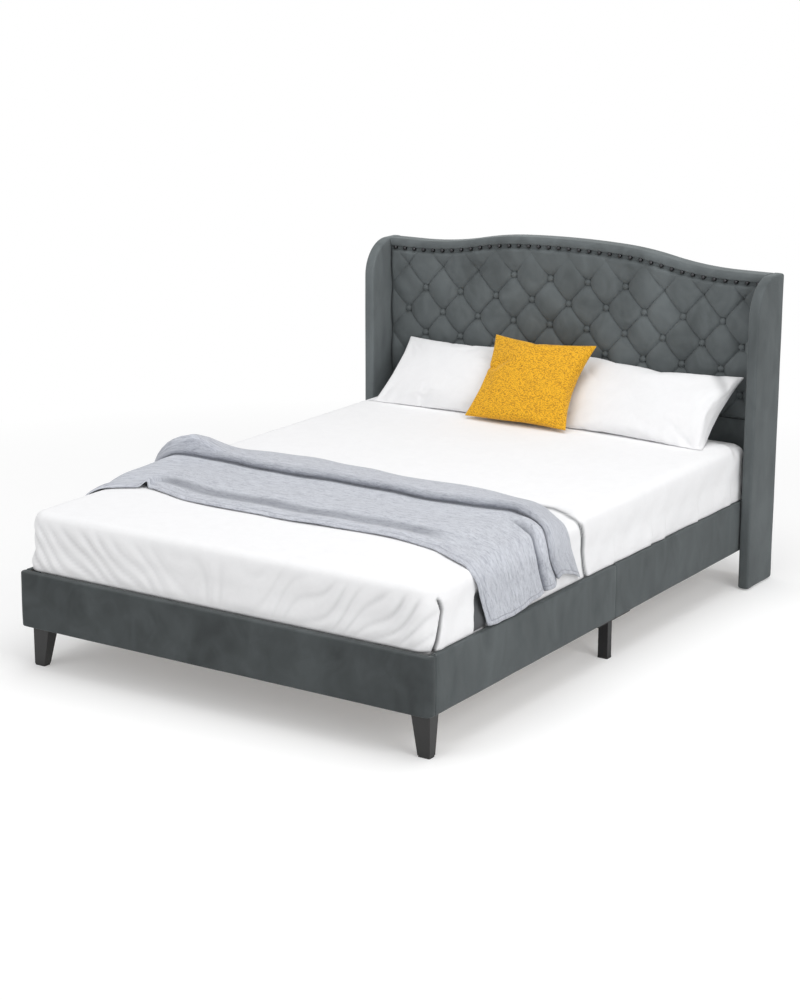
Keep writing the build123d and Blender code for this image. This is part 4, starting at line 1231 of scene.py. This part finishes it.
def stuffed(name, size, pulls, seed):
    """A filled pillow or cushion of a size, level and centred at the origin."""
    width, length, thickness = size
    piece = sewn_bag(name, width * 1.03, length * 1.04, 0.0075, thickness * 0.12, pulls, seed)
    inflate(piece, thickness)
    points = read_points(piece)
    write_points(piece, fit_to(points, size))
    return piece


# The cushion leans on the pillows with its back flattened this far behind its middle plane
CUSHION_BACK = 0.027


def cushion_plane(sizes):
    """Centre of the cushion, and the direction out of its back."""
    low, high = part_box("accent_cushion")
    lean = sizes.cushion_lean
    centre = np.array([(low.x + high.x) / 2 - 0.003, 0.7780, SHEET_TOP + sizes.cover_rise + 0.1355])
    return centre, np.array([0, math.sin(lean), -math.cos(lean)])


class BED_OT_pillows(PieceMaker, bpy.types.Operator):
    """Two white pillows that lean on the headboard"""

    bl_idname = "bed.pillows"
    bl_label = "Pillows"
    # For each pillow: side, how far its top is pulled to the right, turn about the upright, tilt in its
    # own plane, stretch upwards, shift in x, and pinched corner
    sides = (
        ("left", 0.021, 0.0, math.radians(1.8), 0.0, -0.006, 0),
        ("right", 0.012, math.radians(-4.0), 0.0, 0.013, 0.018, 1),
    )

    def make(self, colours, sizes):
        lean = sizes.pillow_lean
        size = (sizes.pillow_width, sizes.pillow_length, sizes.pillow_thickness)
        for seed, (side, shear, turn, tilt, stretch, shift, pinch) in enumerate(self.sides, 81):
            low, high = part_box(f"pillow_{side}")
            piece = stuffed(f"white_pillow_{side}", size, (0.012, 0.004, 0.003), seed)
            points = read_points(piece)
            u, v = points[:, 0] / size[0] * 2, points[:, 1] / size[1] * 2
            points[:, 2], crease = self.worn(points, u, v, pinch, seed)
            points[:, 0] += shear * v + shift
            points[:, 1] += (points[:, 0] + size[0] / 2) * math.tan(tilt) + stretch * (1 + v) / 2
            points = lean_back(points, lean, (0, 0, 0))
            points[:, 0], points[:, 1] = (
                points[:, 0] * math.cos(turn) - points[:, 1] * math.sin(turn),
                points[:, 0] * math.sin(turn) + points[:, 1] * math.cos(turn),
            )
            reach = size[1] / 2
            centre_y = high.y - 0.004 - math.cos(lean) * reach + 0.02 * math.sin(turn)
            centre_z = high.z - 0.004 - math.sin(lean) * reach
            points += ((low.x + high.x) / 2, centre_y, centre_z)
            self.press(points, sizes)
            points[:, 2] = soft_floor(points[:, 2], SHEET_TOP + sizes.cover_rise + REST_GAP)
            points[:, 1] = -soft_floor(-points[:, 1], -(CROWN_Y - REST_GAP), 0.003)
            settle(piece, points)
            # crease holds the painted shade of the pinched corner's fold
            add_note(piece.data, "crease", crease)
            dress(piece, cotton_of(colours, "pillow"), "white_cotton", "pillows", f"pillow_{side}")

    def worn(self, points, u, v, pinch, seed):
        """Heights with creases that run in from the lower side, and a pinched outer top corner with painted
        shade in its fold.

        A crease is a cosine across the pillow with its phase warped, dying away over 70 mm from the side.
        The pinch is a bell along a line that cuts the corner off, and beyond it the corner bends back.
        """
        front = smooth(0.0, 0.02, points[:, 2])
        near = np.exp(-(((1 + v) / 0.42) ** 2)) * smooth(0.0, 0.10, 1 + v)
        waves = np.cos(math.tau * u * 5.5 + 3.0 * ripple(u, v, 0.9, seed + 10))
        height = points[:, 2] + front * near * 0.0034 * waves * (0.5 + 0.5 * ripple(u, v, 1.1, seed + 20))
        corner = (1 - u) * 1.9 + (1 - v)
        fold = pinch * np.exp(-(((corner - 0.62) / 0.13) ** 2)) * smooth(0.0, 0.12, 1 - u)
        bent = pinch * (1 - smooth(0.0, 0.62, corner))
        height = height - front * 0.009 * fold - 0.004 * bent
        # The second value is the painted shade in the pinch's fold
        return height, 0.34 * fold * front

    def press(self, points, sizes):
        """Push what the cushion presses on back behind its flattened back."""
        centre, back = cushion_plane(sizes)
        depth = (points - centre) @ back
        up = (points - centre) @ np.array([0, -back[2], back[1]])
        across = np.abs(points[:, 0] - centre[0])
        inside = (1 - smooth(0.150, 0.215, across)) * (1 - smooth(0.13, 0.19, np.abs(up)))
        pushed = soft_floor(depth, CUSHION_BACK + 0.002, 0.003)
        points += back * ((pushed - depth) * inside)[:, None]


class BED_OT_cushion(PieceMaker, bpy.types.Operator):
    """Mustard chenille cushion that leans on the pillows"""

    bl_idname = "bed.cushion"
    bl_label = "Accent cushion"

    def make(self, colours, sizes):
        size = (sizes.cushion_width, sizes.cushion_length, sizes.cushion_thickness)
        piece = stuffed("mustard_cushion", size, (0.015, -0.002, 0.008), 91)
        points = read_points(piece)
        points[:, 2] = soft_floor(points[:, 2], -CUSHION_BACK, 0.003)
        centre, _ = cushion_plane(sizes)
        points = lean_back(points, sizes.cushion_lean, centre)
        points[:, 2] = soft_floor(points[:, 2], SHEET_TOP + sizes.cover_rise + REST_GAP, 0.003)
        settle(piece, points)
        material = chenille("mustard_chenille_pile", colours.mustard, colours.mustard_shadow)
        dress(piece, material, "mustard_chenille", "accent_cushion", "accent_cushion")


# The throw across its width, from its foot edge: place, and height over what it lies on. At the crease
# of its long fold it doubles back over itself; the row is the one at the foot of the fold.
CREASE_PLACE = 0.6
CREASE_ROW = 13
THROW_ACROSS = (
    (0.000, 0.0020), (0.008, 0.0062), (0.030, 0.0085), (0.055, 0.0098), (0.078, 0.0088), (0.100, 0.0064),
    (0.125, 0.0062), (0.160, 0.0088), (0.200, 0.0132), (0.245, 0.0150), (0.330, 0.0125), (0.450, 0.0095),
    (0.540, 0.0090), (0.590, 0.0095), (0.608, 0.0110), (0.606, 0.0150), (0.598, 0.0190), (0.596, 0.0240),
    (0.606, 0.0290), (0.630, 0.0325), (0.680, 0.0335), (0.750, 0.0300), (0.830, 0.0240), (0.900, 0.0180),
    (0.950, 0.0125), (0.985, 0.0075), (1.000, 0.0020),
)
# Edges of the throw in y, at places along it that are shares of half its run from the middle: its foot
# edge, the crease and its head edge
THROW_FOOT = (
    (-1.000, -0.705), (-0.860, -0.735), (-0.820, -0.684), (-0.740, -0.628), (-0.700, -0.607),
    (-0.590, -0.619), (-0.488, -0.644), (-0.360, -0.656), (-0.135, -0.657), (0.000, -0.661),
    (0.156, -0.646), (0.440, -0.648), (0.523, -0.662), (0.616, -0.686), (0.690, -0.724), (0.758, -0.757),
    (0.830, -0.784), (0.880, -0.770), (0.930, -0.750), (1.000, -0.720),
)
THROW_CREASE = (
    (-1.000, -0.400), (-0.860, -0.350), (-0.800, -0.290), (-0.740, -0.252), (-0.620, -0.246),
    (-0.490, -0.258), (-0.330, -0.260), (-0.170, -0.252), (0.140, -0.261), (0.290, -0.271), (0.436, -0.266),
    (0.534, -0.250), (0.590, -0.244), (0.664, -0.275), (0.774, -0.348), (0.850, -0.414), (0.900, -0.404),
    (1.000, -0.367),
)
THROW_HEAD = (
    (-1.000, -0.090), (-0.860, -0.085), (-0.780, -0.070), (-0.700, -0.064), (-0.565, -0.036),
    (-0.353, -0.032), (-0.120, -0.055), (0.115, -0.072), (0.285, -0.064), (0.411, -0.073), (0.520, -0.099),
    (0.582, -0.114), (0.657, -0.148), (0.726, -0.202), (0.800, -0.256), (0.860, -0.275), (0.920, -0.250),
    (1.000, -0.208),
)
# Places across the throw, and the height of its hem there, at the left side and at the right
HEM_PLACES = (0.0, 0.2, 0.45, 0.56, 0.62, 0.8, 1.0)
HEM_LEFT = (0.318, 0.314, 0.316, 0.322, 0.340, 0.344, 0.338)
HEM_RIGHT = (0.301, 0.299, 0.312, 0.330, 0.362, 0.340, 0.308)


class BED_OT_throw(PieceMaker, bpy.types.Operator):
    """Pale crinkled throw laid across the bed, doubled along one fold and hanging at both sides"""

    bl_idname = "bed.throw"
    bl_label = "Throw"
    run_steps = 268
    across_steps = 160
    # Width of the cloth from edge to edge, for its weave, where it lies single
    plain_width = 0.55
    # Radius of the throw's bend over the left edge and the right, and where each drop starts on its run
    edge_drops = (0.030, 0.050)
    knee = 0.87
    # A small pleat in the foot edge, and the hump at the left edge
    notch = -0.700
    hump = -0.800
    # How high the notch, the fold at the right, the left drop and the hump stand, and the fold's dent
    notch_rise = 0.016
    fold_rise = 0.017
    left_rise = 0.027
    hump_rise = 0.040
    fold_dent = 0.006

    def path(self, share, hem):
        """Place and outward direction of the bed's surface along the throw, from -1 left to 1 right.

        The path runs level to the edge, round it by a quarter circle and straight down to the hem.
        """
        side = sheet_high.x + 0.004
        drop = np.where(share < 0, *self.edge_drops)
        flat = side - drop
        round_end = flat + math.pi / 2 * drop
        top = SHEET_TOP + 0.0012
        below = np.clip((np.abs(share) - self.knee) / (1 - self.knee), 0, 1) * (top - drop - hem)
        run = np.minimum(np.abs(share) / self.knee, 1) * round_end
        angle = np.clip((run - flat) / drop, 0, math.pi / 2)
        x = np.minimum(run, flat) + drop * np.sin(angle)
        z = top - drop * (1 - np.cos(angle)) - below
        sign = np.sign(share)
        return sign * x, z, sign * np.sin(angle), np.cos(angle), sign * (run + below)

    def make(self, colours, sizes):
        by_notch = self.notch + np.linspace(-0.03, 0.03, 26)
        share = np.sort(np.concatenate([np.linspace(-1, 1, self.run_steps), by_notch]))
        foot, crease, head = (
            through(*np.array(edge).T, share) + 0.0022 * ripple(share, 0 * share, 0.4, seed)
            for seed, edge in ((101, THROW_FOOT), (102, THROW_CREASE), (103, THROW_HEAD))
        )
        pleat = np.exp(-(((share - self.notch) / 0.011) ** 2))
        foot = foot + 0.014 * pleat
        profile = np.array(THROW_ACROSS)
        knots = run_along(profile[:, 0] * self.plain_width, profile[:, 1])
        along = np.linspace(0, knots[-1], self.across_steps)
        place, height = (column[None] for column in through(knots, profile, along).T)
        share = share[:, None]
        before = foot[:, None] + place / CREASE_PLACE * (crease - foot)[:, None]
        after = crease[:, None] + (place - CREASE_PLACE) / (1 - CREASE_PLACE) * (head - crease)[:, None]
        y = np.where(place < CREASE_PLACE, before, after)
        hem = np.where(
            share < 0, np.interp(place, HEM_PLACES, HEM_LEFT), np.interp(place, HEM_PLACES, HEM_RIGHT)
        )
        x, z, out_x, out_z, run = self.path(share, hem + 0.002 * ripple(place, 0 * place, 0.3, 104))
        lift = self.lift(share, place, height, pleat[:, None], y)
        uv = stacked(run + 2, along[None] + 0 * run, 0)[..., :2]
        ends = np.abs(np.abs(run) - np.abs(run[[0, -1]])[np.where(share[:, 0] < 0, 0, 1)])
        edge = np.minimum(np.minimum(along, knots[-1] - along)[None], ends)
        points = stacked(x + out_x * lift, y, z + out_z * lift)
        shadow = self.shadow(share, place, along[None] - knots[CREASE_ROW])
        piece = make_piece("crinkled_throw", points, grid_faces(*y.shape), uv, hem=edge, crease=shadow)
        thicken(piece, THROW_THICKNESS, 1)
        material = crinkled("throw_crinkle", colours.throw, colours.throw_shadow)
        dress(piece, material, "throw_weave", "throw_blanket", "throw_blanket")

    def lift(self, share, place, height, pleat, y):
        """Height of the throw over the bed: its profile, slow waves, and folds where it hangs.

        At the right a plump fold runs ahead of the crease, as a half sine across it, and the cloth has
        soft pleats that grow down the side. The pleat at the foot edge is a bell, and the hump at the
        left edge a tent.
        """
        hanging = smooth(0.70, 0.90, np.abs(share))
        lift = height * (1 - 0.20 * hanging) + 0.0016 * ripple(share * 0.9, y, 0.20, 105)
        lift = lift + self.notch_rise * pleat * (1 - smooth(0.03, 0.20, place))
        tube = np.sin(math.pi * np.clip((place - 0.515) / 0.083, 0, 1)) ** 0.8
        dent = np.exp(-(((place - 0.510) / 0.010) ** 2))
        lift = lift + (self.fold_rise * tube - self.fold_dent * dent) * smooth(0.60, 0.76, share)
        creases = 1 + np.cos(math.tau * (place * 6.5 + 0.5 * ripple(share, place, 0.5, 106)))
        lift = lift + smooth(0.74, 0.95, share) * 0.0018 * creases
        left = smooth(0.70, 0.87, -share)
        lift = lift + self.left_rise * left * np.clip(place / 0.55, 0, 1) * (1 - smooth(0.80, 1.0, place))
        ridge = smooth(0.600, 0.650, place) * (1 - np.clip((place - 0.66) / 0.32, 0, 1))
        tent = np.clip(1 - np.abs(share - self.hump) / np.where(share < self.hump, 0.088, 0.110), 0, 1)
        return np.maximum(lift + self.hump_rise * tent * ridge, 0.0012)

    def shadow(self, share, place, past):
        """Shade in the throw's folds: behind the hem, in the crease, up its slope and beside the fold.

        Past is the distance over the cloth from the foot of the long fold, and each shade is a bell or a
        smooth step of its distance.
        """
        right = smooth(0.60, 0.74, share)
        behind_hem = np.exp(-(((place - 0.140) / 0.042) ** 4)) * (1 - smooth(0.42, 0.62, share))
        behind_hem = behind_hem * smooth(-0.74, -0.64, share) * (0.8 + 0.2 * ripple(share, place, 0.3, 107))
        line = np.exp(-((past / 0.0058) ** 2))
        slope = smooth(0.0, 0.006, past) * (1 - smooth(0.022, 0.060, past))
        painted_valley_shade = np.exp(-(((place - 0.511) / 0.009) ** 2)) * right
        lower = smooth(0.75, 0.95, share) * (0.5 * painted_valley_shade + 0.4 * line)
        total = 0.80 * behind_hem + 1.2 * line + 0.45 * slope * (1 - 0.5 * right) + 0.85 * painted_valley_shade + lower
        return np.clip(total, 0, 1)


# Studio


class BED_OT_studio(PieceMaker, bpy.types.Operator):
    """White studio with a soft key light, and the camera"""

    bl_idname = "bed.studio"
    bl_label = "Studio"
    camera_place = (3.757, -5.802, 2.249)
    camera_yaw = math.radians(33.30)
    camera_pitch = math.radians(-15.087)
    camera_roll = math.radians(-0.084)
    focal_pixels = 2302.6
    picture_height = 1000
    sensor = 36.0
    # Glow of the floor, where it fades out to plain white, and the even light of the world
    floor_glow = 0.24
    floor_fade = (1.6, 3.2)
    world_light = 0.52
    # For each lamp: name, place, what it is aimed at, side and power
    lamps = (
        ("top_light", (0.4, 0.2, 5.0), (0.0, 0.0, 0.3), 4.0, 108.0),
        ("key_light", (5.0, -1.9, 3.2), (0.0, 0.0, 0.3), 3.0, 124.0),
        ("fill_light", (-2.2, -5.6, 3.0), (0.0, 0.0, 0.4), 3.4, 66.0),
    )

    def make(self, colours, sizes):
        self.floor(colours)
        self.world()
        for lamp in self.lamps:
            self.lamp(*lamp)
        self.camera()
        bpy.context.scene.view_settings.view_transform = "Standard"

    def floor(self, colours):
        """A large pale floor; what the camera and the gloss see of it is white where it is lit."""
        side = 30.0
        corners = [(-side, -side, 0), (side, -side, 0), (side, side, 0), (-side, side, 0)]
        piece = make_piece("studio_floor", corners, [(0, 1, 2, 3)])
        material = bpy.data.materials.new("studio_floor")
        make = NodeTree(material)
        make.tree.nodes.clear()
        matt = make.node("ShaderNodeBsdfDiffuse", Color=(*colours.floor, 1)).outputs[0]
        glow = make.node("ShaderNodeEmission", Strength=self.floor_glow).outputs[0]
        white = make.node("ShaderNodeEmission", Strength=1.0).outputs[0]
        place = make.node("ShaderNodeTexCoord").outputs["Object"]
        away = make.node("ShaderNodeVectorMath", {"operation": "LENGTH"}, _0=place).outputs["Value"]
        near, far = self.floor_fade
        fade = make.node("ShaderNodeMapRange", Value=away, From_Min=near, From_Max=far).outputs["Result"]
        lit = make.node("ShaderNodeAddShader", _0=matt, _1=glow).outputs[0]
        shown = make.node("ShaderNodeMixShader", _0=fade, _1=lit, _2=white).outputs[0]
        mix = make.node("ShaderNodeMixShader", _0=self.seen_by(make), _1=matt, _2=shown)
        make.node("ShaderNodeOutputMaterial", _0=mix.outputs[0])
        piece.data.materials.append(material)

    def seen_by(self, make):
        """1 for rays from the camera, from gloss and through glass, and 0 for light on the object."""
        rays = make.node("ShaderNodeLightPath").outputs
        seen = rays["Is Camera Ray"]
        for ray in ("Is Glossy Ray", "Is Transmission Ray"):
            seen = make.node("ShaderNodeMath", {"operation": "MAXIMUM"}, _0=seen, _1=rays[ray]).outputs[0]
        return seen

    def world(self):
        """White to the camera and to gloss, and a plain even level of light on the object."""
        world = bpy.data.worlds.new("studio_world")
        make = NodeTree(world)
        make.tree.nodes.clear()
        light, white = (
            make.node("ShaderNodeBackground", Color=(1, 1, 1, 1), Strength=strength).outputs[0]
            for strength in (self.world_light, 1.0)
        )
        mix = make.node("ShaderNodeMixShader", _0=self.seen_by(make), _1=light, _2=white)
        make.node("ShaderNodeOutputWorld", _0=mix.outputs[0])
        bpy.context.scene.world = world

    def lamp(self, name, place, target, size, power):
        """Square soft light aimed at a target."""
        data = bpy.data.lights.new(name, "AREA")
        data.size = size
        data.energy = power
        lamp = bpy.data.objects.new(name, data)
        bpy.context.scene.collection.objects.link(lamp)
        lamp.location = place
        lamp.rotation_euler = (Vector(target) - Vector(place)).to_track_quat("-Z", "Y").to_euler()

    def camera(self):
        """Camera at the photograph's place, aim and field of view."""
        data = bpy.data.cameras.new("studio_camera")
        data.sensor_fit = "AUTO"
        data.sensor_width = self.sensor
        data.lens = self.focal_pixels * self.sensor / self.picture_height
        camera = bpy.data.objects.new("studio_camera", data)
        bpy.context.scene.collection.objects.link(camera)
        camera.location = self.camera_place
        camera.rotation_mode = "XYZ"
        camera.rotation_euler = (math.pi / 2 + self.camera_pitch, self.camera_roll, self.camera_yaw)
        bpy.context.scene.camera = camera


STEPS = (
    BED_OT_studio,
    BED_OT_frame_finishes,
    BED_OT_tufted_panel,
    BED_OT_buttons,
    BED_OT_nailheads,
    BED_OT_top_roll,
    BED_OT_lower_panel,
    BED_OT_wings,
    BED_OT_rails,
    BED_OT_mattress,
    BED_OT_fitted_sheet,
    BED_OT_pillows,
    BED_OT_cushion,
    BED_OT_throw,
)


class BED_PT_panel(bpy.types.Panel):
    """Buttons for the bed's pieces, and its settings"""

    bl_idname = "BED_PT_panel"
    bl_label = "Platform bed"
    bl_space_type = "VIEW_3D"
    bl_region_type = "UI"
    bl_category = "Bed"

    def draw(self, context):
        """List the pieces and the settings."""
        for step in STEPS:
            self.layout.operator(step.bl_idname)
        for group in (context.scene.bed_colours, context.scene.bed_sizes):
            for name in group.__annotations__:
                self.layout.prop(group, name)


CLASSES = (BedColours, BedSizes, *STEPS, BED_PT_panel)


def register():
    """Register the settings, the operators and the panel."""
    for item in CLASSES:
        bpy.utils.register_class(item)
    bpy.types.Scene.bed_colours = bpy.props.PointerProperty(type=BedColours)
    bpy.types.Scene.bed_sizes = bpy.props.PointerProperty(type=BedSizes)


def unregister():
    """Take them away again."""
    del bpy.types.Scene.bed_sizes
    del bpy.types.Scene.bed_colours
    for item in reversed(CLASSES):
        bpy.utils.unregister_class(item)


def main():
    """Make every piece in order."""
    register()
    for step in STEPS:
        group, name = step.bl_idname.split(".")
        getattr(getattr(bpy.ops, group), name)()


if __name__ == "__main__":
    main()
